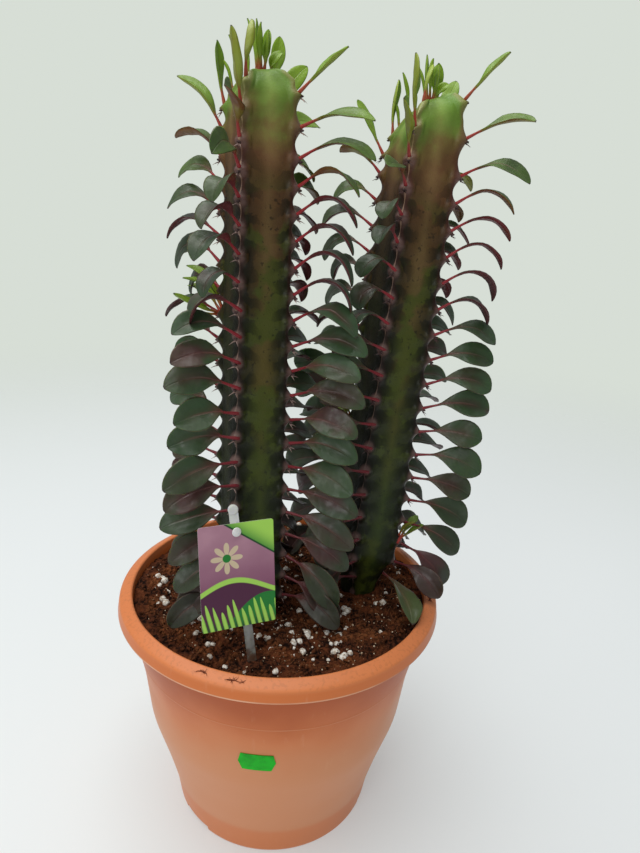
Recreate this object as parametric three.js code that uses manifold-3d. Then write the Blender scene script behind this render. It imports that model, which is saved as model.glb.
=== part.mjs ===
// Potted euphorbia: two four-ribbed succulent stems in a round plastic pot of soil,
// with a plant label on its stake and a small price sticker on the pot.
// Millimetres, +Z up. The origin is the centre of the pot's foot, on the ground.
// The viewer of the front stands at -Y.

import * as THREE from 'three';
import { mergeVertices } from 'three/addons/utils/BufferGeometryUtils.js';
import Module from 'manifold-3d';

const wasm = await Module();
wasm.setup();

// Driving dimensions

const pot = {
  sides: 32,
  rimRadius: 120, // outer shoulder of the rim
  rimHeight: 183.1,
  rimInnerRadius: 110.6, // the rim's top slopes up to this edge
  rimInnerRise: 3.4,
  lipRadius: 121.1, // lower edge of the turned-down lip
  lipDrop: 8.4,
  lipThickness: 2.4,
  grooveDepth: 5, // hollow under the lip, between lip and wall
  wall: 2.6,
  footRadius: 78.5,
  footWidth: 9.5,
  channelDepth: 4, // raised ring of the floor, where the drain holes are
  padRadius: 34, // middle of the floor, level with the foot
  floor: 3,
  drainHoles: 6,
  drainRadius: 4.5,
  drainCircle: 51,
  notchAngles: [-135, -15, 105], // gaps in the foot that let water out
  notchWidth: 28,
  notchHeight: 4,
};

// Outer wall of the pot below the lip: share of the height up to the lip, and radius.
const potWall = [
  [0, pot.footRadius],
  [0.13, 82.0],
  [0.3, 89.5],
  [0.5, 99.7],
  [0.72, 103.9],
  [1, 113.1],
];

const fit = 0.3; // clearance between pieces that touch
const soilLevel = 180;
const soilLumps = [
  // x, y, radius and height of the larger clods
  [9, -68, 12, 5],
  [-88, -20, 9, 4],
  [58, 62, 14, 4],
  [-40, 66, 13, 4.5],
  [-66, -58, 8, 2.5],
];
const perliteCount = 8; // larger perlite grains that stand out of the soil

const ribNames = ['A', 'B', 'C', 'D']; // front left, front right, back right, back left
const ribTurn = { A: -135, B: -45, C: 45, D: 135 };
const ribFacing = { A: -1, B: 1, C: 0.4, D: -1 }; // way and share that the leaves roll towards the front
const stalkLift = { A: 15, B: -20, C: 3, D: 12 }; // how much steeper a rib's leaves rise near the apex
const tipLift = { A: 48, B: -16, C: 10, D: 38 };
const turnReach = { A: [0.08, 0.5], B: [0.08, 0.5], C: [0, 0.14], D: [0.08, 0.5] }; // depths over which leaves take their turn
const youngRoll = { A: 58, B: 42, C: 80, D: 6 }; // roll of a rib's leaves near the apex
const upperRoll = { A: 8, B: -24, C: 50, D: 38 }; // and along the upper third of the stem
const unrest = { A: 1.5, B: 0.8, C: 1.3, D: 1.5 }; // how unevenly the leaves of a rib have grown

const stems = [
  {
    name: 'stem_left',
    seed: 11,
    base: [-21, -33],
    top: [-23, -8], // where the axis passes at the height stemReach
    turn: 26, // turn of the square section, degrees
    side: 40.2, // crest to crest
    crestPitch: 16,
    firstCrest: 533.7,
    apex: 531,
    apexTilt: 5,
    neckRadius: 16.5,
    flare: 22, // height over which the base widens to its full section
    leafTurn: { A: -46, B: -4, C: -22, D: -12 },
    lowTurn: { A: 0, B: 0, C: 34, D: 0 }, // further turn of the leaves at the base
    bladeTaper: 1.2, // a blade is widest a little past its middle
    leafScale: { A: [0.74, 0.9], B: [0.93, 0.96], C: [0.9, 0.9], D: [0.76, 0.9] }, // near the apex and at the base
  },
  {
    name: 'stem_right',
    seed: 29,
    base: [61, 8],
    top: [84, 33],
    turn: 22.5,
    side: 42.4,
    crestPitch: 17.3,
    firstCrest: 535.1,
    apex: 526,
    apexTilt: 14,
    neckRadius: 14,
    flare: 38,
    leafTurn: { A: -52, B: 16, C: -42, D: -10 },
    lowTurn: { A: 0, B: -36, C: 20, D: 0 },
    bladeTaper: 1.6,
    leafScale: { A: [0.7, 0.72], B: [0.9, 0.87], C: [0.9, 0.95], D: [0.72, 0.95] },
  },
];
const stemReach = 540;
const stemRoot = 30; // how far a stem goes into the soil
const notchInset = 4.2; // how far the rib's edge falls back between two crests
const ribFlankAngle = 13;
const ribFlankRadius = 0.74; // share of the crest radius
const spine = { length: 4.2, radius: 0.55, spread: 42, inset: 2.8, below: 2 };

// Leaves by depth below the apex, as a share of the stem above the soil:
// rise of the leaf stalk and of the tip above level, length, width and roll.
const leafStages = [
  { at: 0.0, stalkRise: 80, tipRise: 84, length: 26, width: 7, roll: 10 },
  { at: 0.045, stalkRise: 60, tipRise: 40, length: 38, width: 11, roll: 15 },
  { at: 0.09, stalkRise: 42, tipRise: -8, length: 50, width: 14, roll: 28 },
  { at: 0.16, stalkRise: 38, tipRise: -52, length: 51, width: 15, roll: 18 },
  { at: 0.36, stalkRise: 36, tipRise: -78, length: 51, width: 16, roll: 14 },
  { at: 0.45, stalkRise: 24, tipRise: -28, length: 52, width: 19, roll: 52 },
  { at: 0.64, stalkRise: 10, tipRise: -20, length: 52, width: 21, roll: 60 },
  { at: 0.8, stalkRise: -8, tipRise: -38, length: 53, width: 20, roll: 60 },
  { at: 0.92, stalkRise: -30, tipRise: -74, length: 51, width: 18.5, roll: 56 },
  { at: 1.0, stalkRise: -26, tipRise: -64, length: 44, width: 18, roll: 50 },
];
const stalkShare = 0.15; // part of the leaf's length that is stalk
const stalkWidth = 2;
const leafThickness = 1.6;
const bladeStations = [0.18, 0.45, 0.78, 1]; // shares of the leaf's length where its section is set
const leafFold = 0.12; // how far the two halves rise beside the midrib
const leafSink = 4;
const lowestLeaf = 16; // height above the soil of the lowest leaf

// Young upright leaves at the growing point: direction, share of the way out, length, width, roll.
const apexLeaves = [
  [-100, 0.35, 24, 6, 72],
  [-20, 0.45, 20, 7, 30],
  [50, 0.5, 22, 8, 10],
  [150, 0.4, 27, 5, 8],
];

// Small side shoots: stem, rib (B or D), how many crests down, and the size of their leaves.
const sideShoots = [
  { stem: 0, rib: 'D', crest: 9, turn: 22, count: 5, length: 34, width: 11 },
  { stem: 1, rib: 'D', crest: 13, turn: 48, count: 3, length: 13, width: 7 },
  { stem: 1, rib: 'B', crest: 18, turn: 20, count: 3, length: 24, width: 7 },
];

// Leaves that lie over the soil on their own: stem, rib, height of the root, and direction.
const lowLeaves = [
  {
    stem: 1,
    rib: 'B',
    z: 194,
    azimuth: -74,
    stalkRise: 10,
    tipRise: -26,
    length: 62,
    width: 20,
    roll: -22,
  },
];

const label = {
  foot: [-11.6, -89.6], // where the stake goes into the soil
  turn: 23.6,
  leanBack: 10,
  stakeTilt: -5, // sideways lean of the stake
  stakeAbove: 103,
  stakeBelow: 38,
  stakeWidth: 6,
  stakeThickness: 1.6,
  knobRadius: 3.2,
  pegRadius: 2,
  pegHeadRadius: 3,
  pegHeadThickness: 1.2,
  cardWidth: 48,
  cardHeight: 68,
  cardThickness: 0.6,
  cardCorner: 1.5,
  pegHeight: 89, // along the stake
  pegBelowTop: 5.5,
};

const sticker = { width: 25.5, height: 14.4, angle: -93.2, z: 109, thickness: 0.6, steps: 6 };

// Materials

const finish = (color, roughness) => new THREE.MeshStandardMaterial({ color, roughness, metalness: 0 });
const materials = {
  pot: finish(0xc8744a, 0.5),
  soil: finish(0x4a2c20, 0.95),
  stem_left: finish(0x3f4a26, 0.6),
  stem_right: finish(0x46512a, 0.6),
  label_card: finish(0x9c7a8c, 0.35),
  label_stake: finish(0xb9bdb8, 0.3),
  price_sticker: finish(0x22d43a, 0.6),
};

// Helpers

const radians = THREE.MathUtils.degToRad;
const lerp = THREE.MathUtils.lerp;
const smooth = THREE.MathUtils.smoothstep;

// A repeatable scattered value from -1 to 1.
function scatter(seed, index) {
  const value = Math.sin(seed * 12.9898 + index * 78.233) * 43758.5453;
  return 2 * (value - Math.floor(value)) - 1;
}

function toSolid(geometry) {
  const bare = geometry.clone();
  bare.deleteAttribute('normal');
  bare.deleteAttribute('uv');
  const merged = mergeVertices(bare, 1e-4);
  return new wasm.Manifold(
    new wasm.Mesh({
      numProp: 3,
      vertProperties: new Float32Array(merged.attributes.position.array),
      triVerts: new Uint32Array(merged.index.array),
    }),
  );
}

function toMesh(name, solid) {
  const result = solid.getMesh();
  const geometry = new THREE.BufferGeometry();
  geometry.setAttribute('position', new THREE.BufferAttribute(result.vertProperties, 3));
  geometry.setIndex(new THREE.BufferAttribute(result.triVerts, 1));
  const mesh = new THREE.Mesh(geometry, materials[name]);
  mesh.name = name;
  return mesh;
}

// A body of revolution about Z, from a profile of [radius, height] that starts and ends on the axis.
function turned(profile) {
  const points = profile.map(([radius, height]) => new THREE.Vector2(radius, height));
  return new THREE.LatheGeometry(points, pot.sides).rotateX(Math.PI / 2);
}

function cylinder(radius, bottom, top, sides, x = 0, y = 0) {
  const geometry = new THREE.CylinderGeometry(radius, radius, top - bottom, sides);
  return geometry.rotateX(Math.PI / 2).translate(x, y, (top + bottom) / 2);
}

// A closed body through rings of points, with flat ends. Every ring has the same number of points,
// counted against the clock as seen from the far end.
function loft(rings) {
  const count = rings[0].length;
  const positions = rings.flat().flatMap((point) => [point.x, point.y, point.z]);
  const index = [];
  for (let r = 0; r < rings.length - 1; r += 1) {
    for (let i = 0; i < count; i += 1) {
      const a = r * count + i;
      const b = r * count + ((i + 1) % count);
      index.push(a, b, b + count, a, b + count, a + count);
    }
  }
  const last = (rings.length - 1) * count;
  for (let i = 1; i < count - 1; i += 1) {
    index.push(0, i + 1, i, last, last + i, last + i + 1);
  }
  const geometry = new THREE.BufferGeometry();
  geometry.setAttribute('position', new THREE.Float32BufferAttribute(positions, 3));
  geometry.setIndex(index);
  return geometry;
}

// Pot

function potWallRadius(z) {
  const share = z / (pot.rimHeight - pot.lipDrop);
  for (let i = 1; i < potWall.length; i += 1) {
    if (share <= potWall[i][0] || i === potWall.length - 1) {
      const [lowShare, lowRadius] = potWall[i - 1];
      const [highShare, highRadius] = potWall[i];
      return lerp(lowRadius, highRadius, (share - lowShare) / (highShare - lowShare));
    }
  }
  return pot.footRadius;
}

const floorTop = pot.channelDepth + pot.floor;
const innerRim = pot.rimHeight + pot.rimInnerRise;
const lipBottom = pot.rimHeight - pot.lipDrop;
const wallHeights = potWall.slice(1, -1).map(([share]) => share * lipBottom);

function makePot() {
  const grooveTop = lipBottom + pot.grooveDepth;
  const outerWall = wallHeights.map((z) => [potWallRadius(z), z]);
  const innerWall = wallHeights.map((z) => [potWallRadius(z) - pot.wall, z]).reverse();
  const profile = [
    [0, 0],
    [pot.padRadius, 0],
    [pot.padRadius + 3, pot.channelDepth],
    [pot.footRadius - pot.footWidth - 1, pot.channelDepth],
    [pot.footRadius - pot.footWidth, 0],
    [pot.footRadius, 0],
    ...outerWall,
    [potWallRadius(lipBottom), lipBottom],
    [potWallRadius(grooveTop), grooveTop],
    [pot.lipRadius - pot.lipThickness, grooveTop],
    [pot.lipRadius - pot.lipThickness, lipBottom],
    [pot.lipRadius, lipBottom],
    [pot.rimRadius, pot.rimHeight - 0.8],
    [pot.rimRadius - 1.2, pot.rimHeight + 0.2],
    [pot.rimInnerRadius + 1, innerRim],
    [pot.rimInnerRadius, innerRim - 0.8],
    [potWallRadius(lipBottom) - pot.wall, lipBottom],
    ...innerWall,
    [potWallRadius(floorTop) - pot.wall, floorTop],
    [0, floorTop],
  ];
  let body = toSolid(turned(profile));
  for (let i = 0; i < pot.drainHoles; i += 1) {
    const angle = (2 * Math.PI * (i + 0.5)) / pot.drainHoles;
    const x = pot.drainCircle * Math.cos(angle);
    const y = pot.drainCircle * Math.sin(angle);
    body = body.subtract(toSolid(cylinder(pot.drainRadius, -5, floorTop + 5, 8, x, y)));
  }
  for (const angle of pot.notchAngles) {
    const cut = new THREE.BoxGeometry(pot.footWidth + 12, pot.notchWidth, 2 * pot.notchHeight);
    cut.translate(pot.footRadius - pot.footWidth / 2 + 1, 0, 0).rotateZ(radians(angle));
    body = body.subtract(toSolid(cut));
  }
  return toMesh('pot', body);
}

// Soil

function soilHeight(x, y) {
  const waves = 1.3 * Math.sin(x / 17 + 0.8) * Math.cos(y / 14) + 0.9 * Math.sin(x / 9 - y / 11);
  let z = soilLevel + waves;
  for (const [lumpX, lumpY, radius, height] of soilLumps) {
    z += height * Math.exp(-((x - lumpX) ** 2 + (y - lumpY) ** 2) / (radius * radius));
  }
  return z;
}

function soilHoles() {
  const holes = stems.map((stem) => {
    const foot = stem.base;
    return cylinder(stem.neckRadius + 1.2, soilLevel - stemRoot - fit, soilLevel + 12, 16, foot[0], foot[1]);
  });
  const slot = new THREE.BoxGeometry(
    label.stakeWidth + 2 * fit,
    label.stakeThickness + 2 * fit,
    2 * (label.stakeBelow + fit),
  );
  return [...holes, placeOnLabel(slot, true)];
}

function makeSoil() {
  const clear = pot.wall + fit;
  const edge = potWallRadius(lipBottom) - clear;
  const marker = soilLevel + 0.01; // the top surface is told apart by this height
  const side = wallHeights.map((z) => [potWallRadius(z) - clear, z]);
  const top = [1, 0.86, 0.66, 0.46, 0.24, 0].map((share) => [edge * share, marker]);
  const geometry = turned([
    [0, floorTop + fit],
    [potWallRadius(floorTop) - clear - 1, floorTop + fit],
    ...side,
    [edge, lipBottom],
    ...top,
  ]);
  const position = geometry.attributes.position;
  for (let i = 0; i < position.count; i += 1) {
    if (Math.abs(position.getZ(i) - marker) < 1e-3) {
      position.setZ(i, soilHeight(position.getX(i), position.getY(i)));
    }
  }
  let body = toSolid(geometry);
  for (let i = 0; i < perliteCount; i += 1) {
    const angle = Math.PI * (1 + scatter(5, i));
    const reach = edge * Math.sqrt(0.08 + 0.84 * Math.abs(scatter(6, i)));
    const x = reach * Math.cos(angle);
    const y = reach * Math.sin(angle);
    const nearStem = stems.some((stem) => Math.hypot(x - stem.base[0], y - stem.base[1]) < stem.neckRadius + 5);
    const nearLump = soilLumps.some((lump) => Math.hypot(x - lump[0], y - lump[1]) < 1.6 * lump[2]);
    const nearLabel = Math.hypot(x - label.foot[0], y - label.foot[1]) < 12;
    if (!nearStem && !nearLump && !nearLabel) {
      const grain = new THREE.OctahedronGeometry(1.9 + 0.7 * scatter(7, i));
      grain.rotateZ(angle * 3).translate(x, y, soilHeight(x, y) - 0.2);
      body = body.add(toSolid(grain));
    }
  }
  for (const hole of soilHoles()) {
    body = body.subtract(toSolid(hole));
  }
  return toMesh('soil', body);
}

// Stems

function axisAt(stem, z) {
  const share = (z - soilLevel) / (stemReach - soilLevel);
  const along = Math.max(share, 0);
  return [lerp(stem.base[0], stem.top[0], along), lerp(stem.base[1], stem.top[1], along)];
}

function ribAngle(stem, rib) {
  return radians(stem.turn + ribTurn[rib]);
}

// How full the section is: narrow at the soil, full along the stem, drawn in at the apex.
function fullness(stem, z) {
  const foot = smooth(z, soilLevel, soilLevel + stem.flare);
  const crown = lerp(1, 0.6, smooth(z, stem.apex - 20, stem.apex) ** 1.6);
  return { foot, crown };
}

// The two front-to-back rib pairs carry their crests half a pitch apart.
function crestIsAt(rib, step) {
  const evenPair = rib === 'B' || rib === 'D';
  return evenPair === (step % 2 === 0);
}

function ringHeight(stem, step) {
  return stem.firstCrest - (step * stem.crestPitch) / 2;
}

function stemRing(stem, z, step) {
  const { foot, crown } = fullness(stem, z);
  const [x, y] = axisAt(stem, z);
  const crest = stem.side / Math.SQRT2;
  const droop = stem.apexTilt * smooth(z, stem.apex - 45, stem.apex);
  const low = ribAngle(stem, 'D');
  const ring = [];
  for (const rib of ribNames) {
    const angle = ribAngle(stem, rib);
    const tip = crestIsAt(rib, step) ? crest : crest - notchInset;
    const spokes = [
      [-ribFlankAngle, crest * ribFlankRadius],
      [0, tip],
      [ribFlankAngle, crest * ribFlankRadius],
    ];
    for (const [turn, full] of spokes) {
      const radius = lerp(stem.neckRadius, full * crown, foot);
      const direction = angle + radians(turn);
      const drop = droop * (radius / crest) * Math.cos(direction - low);
      ring.push(new THREE.Vector3(x + radius * Math.cos(direction), y + radius * Math.sin(direction), z - drop));
    }
  }
  return ring;
}

function stemBody(stem) {
  const rings = [];
  const steps = Math.floor((stem.firstCrest - soilLevel - 4) / (stem.crestPitch / 2));
  rings.push(stemRing(stem, soilLevel - stemRoot, 0), stemRing(stem, soilLevel - 1, 0));
  for (let step = steps; step >= 1; step -= 1) {
    if (ringHeight(stem, step) < stem.apex - 3) {
      rings.push(stemRing(stem, ringHeight(stem, step), step));
    }
  }
  rings.push(stemRing(stem, stem.apex, 0));
  return loft(rings);
}

// Width of a leaf along its length: a narrow stalk, then a blade that is widest past its middle.
function leafWidth(leaf, share) {
  const blade = THREE.MathUtils.clamp((share - stalkShare) / (1 - stalkShare), 0, 0.985);
  const fullness = lerp(0.9, 0.6, smooth(blade, 0.3, 0.75)); // a wedge towards the stalk, round at the tip
  return leaf.width * Math.sin(Math.PI * blade ** leaf.taper) ** fullness;
}

// The curved midrib of a leaf, from inside the rib to the tip.
function midrib(leaf) {
  const [dx, dy] = [Math.cos(leaf.azimuth), Math.sin(leaf.azimuth)];
  const steps = 30;
  const start = -leafSink / leaf.length;
  const stride = ((1 - start) * leaf.length) / steps;
  const point = new THREE.Vector3(leaf.root.x - leafSink * dx, leaf.root.y - leafSink * dy, leaf.root.z);
  const path = [{ share: start, point, rise: radians(leaf.stalkRise) }];
  for (let i = 1; i <= steps; i += 1) {
    const share = lerp(start, 1, i / steps);
    const rise = radians(lerp(leaf.stalkRise, leaf.tipRise, smooth(share, 0.1, 1)));
    const next = path[i - 1].point.clone();
    next.add(new THREE.Vector3(dx * Math.cos(rise), dy * Math.cos(rise), Math.sin(rise)).multiplyScalar(stride));
    path.push({ share, point: next, rise });
  }
  return path;
}

// The lowest height that a leaf may hang to: above the soil, and above the rim where it crosses it.
function ground(point) {
  const reach = Math.hypot(point.x, point.y);
  if (reach > pot.lipRadius + 4) {
    return 0;
  }
  return reach > pot.rimInnerRadius - 5 ? innerRim + 1.5 : soilLevel + 5;
}

// Lifts a leaf step by step until it hangs clear of the soil and the rim.
function settle(leaf) {
  const hang = Math.abs(Math.sin(radians(leaf.roll))) / 2;
  const touches = () =>
    midrib(leaf).some(
      ({ share, point }) => share > 0.1 && point.z - hang * leafWidth(leaf, share) < ground(point),
    );
  for (let tries = 0; tries < 20 && touches(); tries += 1) {
    leaf.stalkRise += 4;
    leaf.tipRise += 3;
  }
  return leaf;
}

// One leaf as a long diamond section that follows its midrib.
function leafGeometry(leaf) {
  const out = new THREE.Vector3(Math.cos(leaf.azimuth), Math.sin(leaf.azimuth), 0);
  const up = new THREE.Vector3(0, 0, 1);
  const across = new THREE.Vector3(-out.y, out.x, 0);
  const path = midrib(leaf);
  const rings = [path[0].share, ...bladeStations].map((station) => {
    const at = path.reduce((best, here) =>
      Math.abs(here.share - station) < Math.abs(best.share - station) ? here : best,
    );
    const width = Math.max(leafWidth(leaf, station), station > 0.99 ? 1 : stalkWidth);
    const thickness = station > 0.99 ? 0.7 : leafThickness;
    const along = out.clone().multiplyScalar(Math.cos(at.rise)).addScaledVector(up, Math.sin(at.rise));
    const turn = radians(leaf.roll) * smooth(station, 0.05, 0.5);
    const side = across.clone().applyAxisAngle(along, turn);
    const normal = along.clone().cross(side);
    const lift = width * leafFold;
    return [
      at.point.clone().addScaledVector(side, width / 2).addScaledVector(normal, lift),
      at.point.clone().addScaledVector(normal, thickness / 2),
      at.point.clone().addScaledVector(side, -width / 2).addScaledVector(normal, lift),
      at.point.clone().addScaledVector(normal, -thickness / 2),
    ];
  });
  return loft(rings);
}

function stageAt(depth) {
  let i = 1;
  while (i < leafStages.length - 1 && leafStages[i].at < depth) {
    i += 1;
  }
  const low = leafStages[i - 1];
  const high = leafStages[i];
  const share = THREE.MathUtils.clamp((depth - low.at) / (high.at - low.at), 0, 1);
  const mix = (key) => lerp(low[key], high[key], share);
  return {
    stalkRise: mix('stalkRise'),
    tipRise: mix('tipRise'),
    length: mix('length'),
    width: mix('width'),
    roll: mix('roll'),
  };
}

// The crest point of a rib at a height, a little inside its edge.
function crestPoint(stem, rib, z) {
  const { foot, crown } = fullness(stem, z);
  const [x, y] = axisAt(stem, z);
  const radius = lerp(stem.neckRadius, (stem.side / Math.SQRT2) * crown, foot);
  const angle = ribAngle(stem, rib);
  const droop = stem.apexTilt * smooth(z, stem.apex - 45, stem.apex);
  const drop = (droop * radius * Math.cos(angle - ribAngle(stem, 'D'))) / (stem.side / Math.SQRT2);
  return new THREE.Vector3(x + radius * Math.cos(angle), y + radius * Math.sin(angle), z - drop);
}

function crestHeights(stem, rib) {
  const heights = [];
  for (let step = 1; ringHeight(stem, step) > soilLevel + lowestLeaf; step += 1) {
    if (crestIsAt(rib, step)) {
      heights.push(Math.min(ringHeight(stem, step), stem.apex - 1));
    }
  }
  return heights;
}

function ribLeaves(stem, rib) {
  return crestHeights(stem, rib).map((z, i) => {
    const depth = (stem.apex - z) / (stem.apex - soilLevel);
    const stage = stageAt(depth);
    const scale = lerp(1, lerp(...stem.leafScale[rib], depth), smooth(depth, 0.04, 0.12));
    const seed = stem.seed + ribNames.indexOf(rib) * 3;
    const turn =
      stem.leafTurn[rib] * smooth(depth, ...turnReach[rib]) + stem.lowTurn[rib] * smooth(depth, 0.82, 0.92);
    const lift = 1 - smooth(depth, 0.07, 0.2);
    const upper = 1 - smooth(depth, 0.36, 0.46);
    const roll = lerp(stage.roll, lerp(youngRoll[rib], upperRoll[rib], smooth(depth, 0.12, 0.18)), upper);
    const uneven = (offset, index) => unrest[rib] * scatter(seed + offset, index);
    return settle({
      root: crestPoint(stem, rib, z),
      azimuth: ribAngle(stem, rib) + radians(turn + 8 * uneven(0, i)),
      stalkRise: stage.stalkRise + stalkLift[rib] * lift + 4 * uneven(1, i),
      tipRise: stage.tipRise + tipLift[rib] * lift + 8 * uneven(2, i),
      length: stage.length * scale * (1 + 0.08 * uneven(0, i + 50)),
      width: stage.width * (1 + 0.08 * uneven(1, i + 50)),
      roll: ribFacing[rib] * roll + 7 * uneven(3, i),
      taper: stem.bladeTaper,
    });
  });
}

function crownLeaves(stem) {
  const [x, y] = axisAt(stem, stem.apex);
  const reach = (stem.side / Math.SQRT2) * 0.4;
  return apexLeaves.map(([turn, out, length, width, roll], i) => {
    const azimuth = radians(turn + 12 * scatter(stem.seed, i + 90));
    const root = new THREE.Vector3(x, y, stem.apex);
    root.x += reach * out * Math.cos(azimuth);
    root.y += reach * out * Math.sin(azimuth);
    return { root, azimuth, stalkRise: 80, tipRise: 88, length, width, roll, taper: stem.bladeTaper };
  });
}

function shootLeaves(stem, shoot) {
  const root = crestPoint(stem, shoot.rib, ringHeight(stem, 2 * shoot.crest));
  const middle = ribAngle(stem, shoot.rib) + radians(shoot.turn);
  const leaves = [];
  for (let i = 0; i < shoot.count; i += 1) {
    const fan = shoot.count > 1 ? i / (shoot.count - 1) - 0.5 : 0;
    const leaf = {
      root: root.clone(),
      azimuth: middle + radians(90 * fan),
      stalkRise: 30 + 40 * scatter(stem.seed + 7, i),
      tipRise: 5 + 30 * scatter(stem.seed + 8, i),
      length: shoot.length * (1 + 0.2 * scatter(stem.seed + 9, i)),
      width: shoot.width,
      roll: 30 * fan,
      taper: stem.bladeTaper,
    };
    leaves.push(settle(leaf));
  }
  return leaves;
}

// A short spine under a leaf, which leaves the rib to one side.
function spineGeometry(stem, rib, z, hand) {
  const angle = ribAngle(stem, rib);
  const length = spine.length + spine.inset;
  const cone = new THREE.ConeGeometry(spine.radius, length, 3).translate(0, length / 2, 0);
  cone.rotateZ(-Math.PI / 2).rotateZ(angle + radians(hand * spine.spread));
  const root = crestPoint(stem, rib, z);
  root.x -= spine.inset * Math.cos(angle);
  root.y -= spine.inset * Math.sin(angle);
  return cone.translate(root.x, root.y, root.z - spine.below);
}

function makeStem(stem, number) {
  let body = toSolid(stemBody(stem));
  const leaves = ribNames.flatMap((rib) => ribLeaves(stem, rib)).concat(crownLeaves(stem));
  for (const shoot of sideShoots.filter((one) => one.stem === number)) {
    leaves.push(...shootLeaves(stem, shoot));
  }
  for (const low of lowLeaves.filter((one) => one.stem === number)) {
    const place = { root: crestPoint(stem, low.rib, low.z), azimuth: radians(low.azimuth) };
    leaves.push(settle({ ...low, ...place, taper: stem.bladeTaper }));
  }
  for (const leaf of leaves) {
    body = body.add(toSolid(leafGeometry(leaf)));
  }
  for (const rib of ribNames) {
    const heights = crestHeights(stem, rib).filter((height) => height < stem.apex - 12);
    heights.forEach((z, i) => {
      body = body.add(toSolid(spineGeometry(stem, rib, z, i % 2 === 0 ? 1 : -1)));
    });
  }
  return toMesh(stem.name, body);
}

// Label

// Takes a shape from the label's own frame (X across, Z up the stake, -Y the printed face)
// to where the stake stands. The stake itself also leans sideways.
function placeOnLabel(geometry, leansSideways) {
  if (leansSideways) {
    geometry.rotateY(radians(label.stakeTilt));
  }
  geometry.rotateX(radians(-label.leanBack)).rotateZ(radians(label.turn));
  return geometry.translate(label.foot[0], label.foot[1], soilLevel);
}

function labelPeg() {
  const tilt = radians(label.stakeTilt);
  return { x: label.pegHeight * Math.sin(tilt), z: label.pegHeight * Math.cos(tilt) };
}

const cardGap = label.stakeThickness / 2 + fit; // back of the card from the middle of the stake

function makeCard() {
  const { cardWidth: w, cardHeight: h, cardCorner: c } = label;
  const peg = labelPeg();
  const top = label.pegBelowTop;
  const outline = new THREE.Shape();
  outline.moveTo(-w / 2 + c, top - h).lineTo(w / 2 - c, top - h).lineTo(w / 2, top - h + c);
  outline.lineTo(w / 2, top - c).lineTo(w / 2 - c, top).lineTo(-w / 2 + c, top);
  outline.lineTo(-w / 2, top - c).lineTo(-w / 2, top - h + c).closePath();
  const hole = new THREE.Path();
  hole.absarc(0, 0, label.pegRadius + fit, 0, 2 * Math.PI, true);
  outline.holes.push(hole);
  const plate = new THREE.ExtrudeGeometry(outline, {
    depth: label.cardThickness,
    bevelEnabled: false,
    curveSegments: 8,
  });
  plate.rotateX(Math.PI / 2).translate(peg.x, -cardGap, peg.z);
  return toMesh('label_card', toSolid(placeOnLabel(plate, false)));
}

function makeStake() {
  const { stakeWidth: w, stakeThickness: t, stakeAbove, stakeBelow } = label;
  const blade = new THREE.Shape();
  blade.moveTo(-w / 2, stakeAbove).lineTo(-w / 2, -stakeBelow + 9).lineTo(-1, -stakeBelow);
  blade.lineTo(1, -stakeBelow).lineTo(w / 2, -stakeBelow + 9).lineTo(w / 2, stakeAbove).closePath();
  const bar = new THREE.ExtrudeGeometry(blade, { depth: t, bevelEnabled: false });
  bar.rotateX(Math.PI / 2).translate(0, t / 2, 0);
  const knob = new THREE.CylinderGeometry(label.knobRadius, label.knobRadius, t + 0.8, 10);
  knob.rotateY(0.1).translate(0, 0, stakeAbove);
  const shankLength = cardGap + label.cardThickness + fit + 0.4;
  const shank = new THREE.CylinderGeometry(label.pegRadius, label.pegRadius, shankLength, 8);
  shank.translate(0, -shankLength / 2, label.pegHeight);
  const head = new THREE.CylinderGeometry(
    label.pegHeadRadius - 0.7,
    label.pegHeadRadius,
    label.pegHeadThickness,
    8,
  );
  const headFrom = cardGap + label.cardThickness + fit;
  head.rotateX(Math.PI).translate(0, -headFrom - label.pegHeadThickness / 2, label.pegHeight);
  let body = toSolid(placeOnLabel(bar, true));
  for (const shape of [knob, shank, head]) {
    body = body.add(toSolid(placeOnLabel(shape, true)));
  }
  return toMesh('label_stake', body);
}

// Price sticker: a thin six-cornered plate that follows the pot's flat sides.

function makeSticker() {
  const { width, height, thickness, steps } = sticker;
  const middle = radians(sticker.angle);
  const facet = (2 * Math.PI) / pot.sides;
  const wallAt = (angle, z) => {
    const offset = ((angle % facet) + facet) % facet;
    return (potWallRadius(z) * Math.cos(facet / 2)) / Math.cos(offset - facet / 2);
  };
  const reach = potWallRadius(sticker.z);
  const halfWidth = (share) => (width / 2) * (share < 0.5 ? lerp(0.78, 1, share * 2) : lerp(1, 0.86, share * 2 - 1));
  const rings = [];
  for (let i = 0; i <= steps; i += 1) {
    const across = (2 * i) / steps - 1;
    const ring = [];
    for (const [share, skin] of [
      [0, fit],
      [0.5, fit],
      [1, fit],
      [1, fit + thickness],
      [0.5, fit + thickness],
      [0, fit + thickness],
    ]) {
      const z = sticker.z + height * (share - 0.5);
      const angle = middle + (across * halfWidth(share)) / reach;
      const radius = wallAt(angle, z) + skin;
      ring.push(new THREE.Vector3(radius * Math.cos(angle), radius * Math.sin(angle), z));
    }
    rings.push(ring);
  }
  return toMesh('price_sticker', toSolid(loft(rings)));
}

const plant = new THREE.Group();
plant.add(makePot(), makeSoil(), makeCard(), makeStake(), makeSticker());
stems.forEach((stem, number) => plant.add(makeStem(stem, number)));

export default plant;
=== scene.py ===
# Potted euphorbia: two four-ribbed succulent stems in a round plastic pot, with a label and a sticker.
# Sizes are millimetres unless a note says metres. Every mesh is made in metres, front towards -Y.

import math

import bmesh
import bpy
import numpy as np
from mathutils import Matrix, Vector, noise


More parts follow.
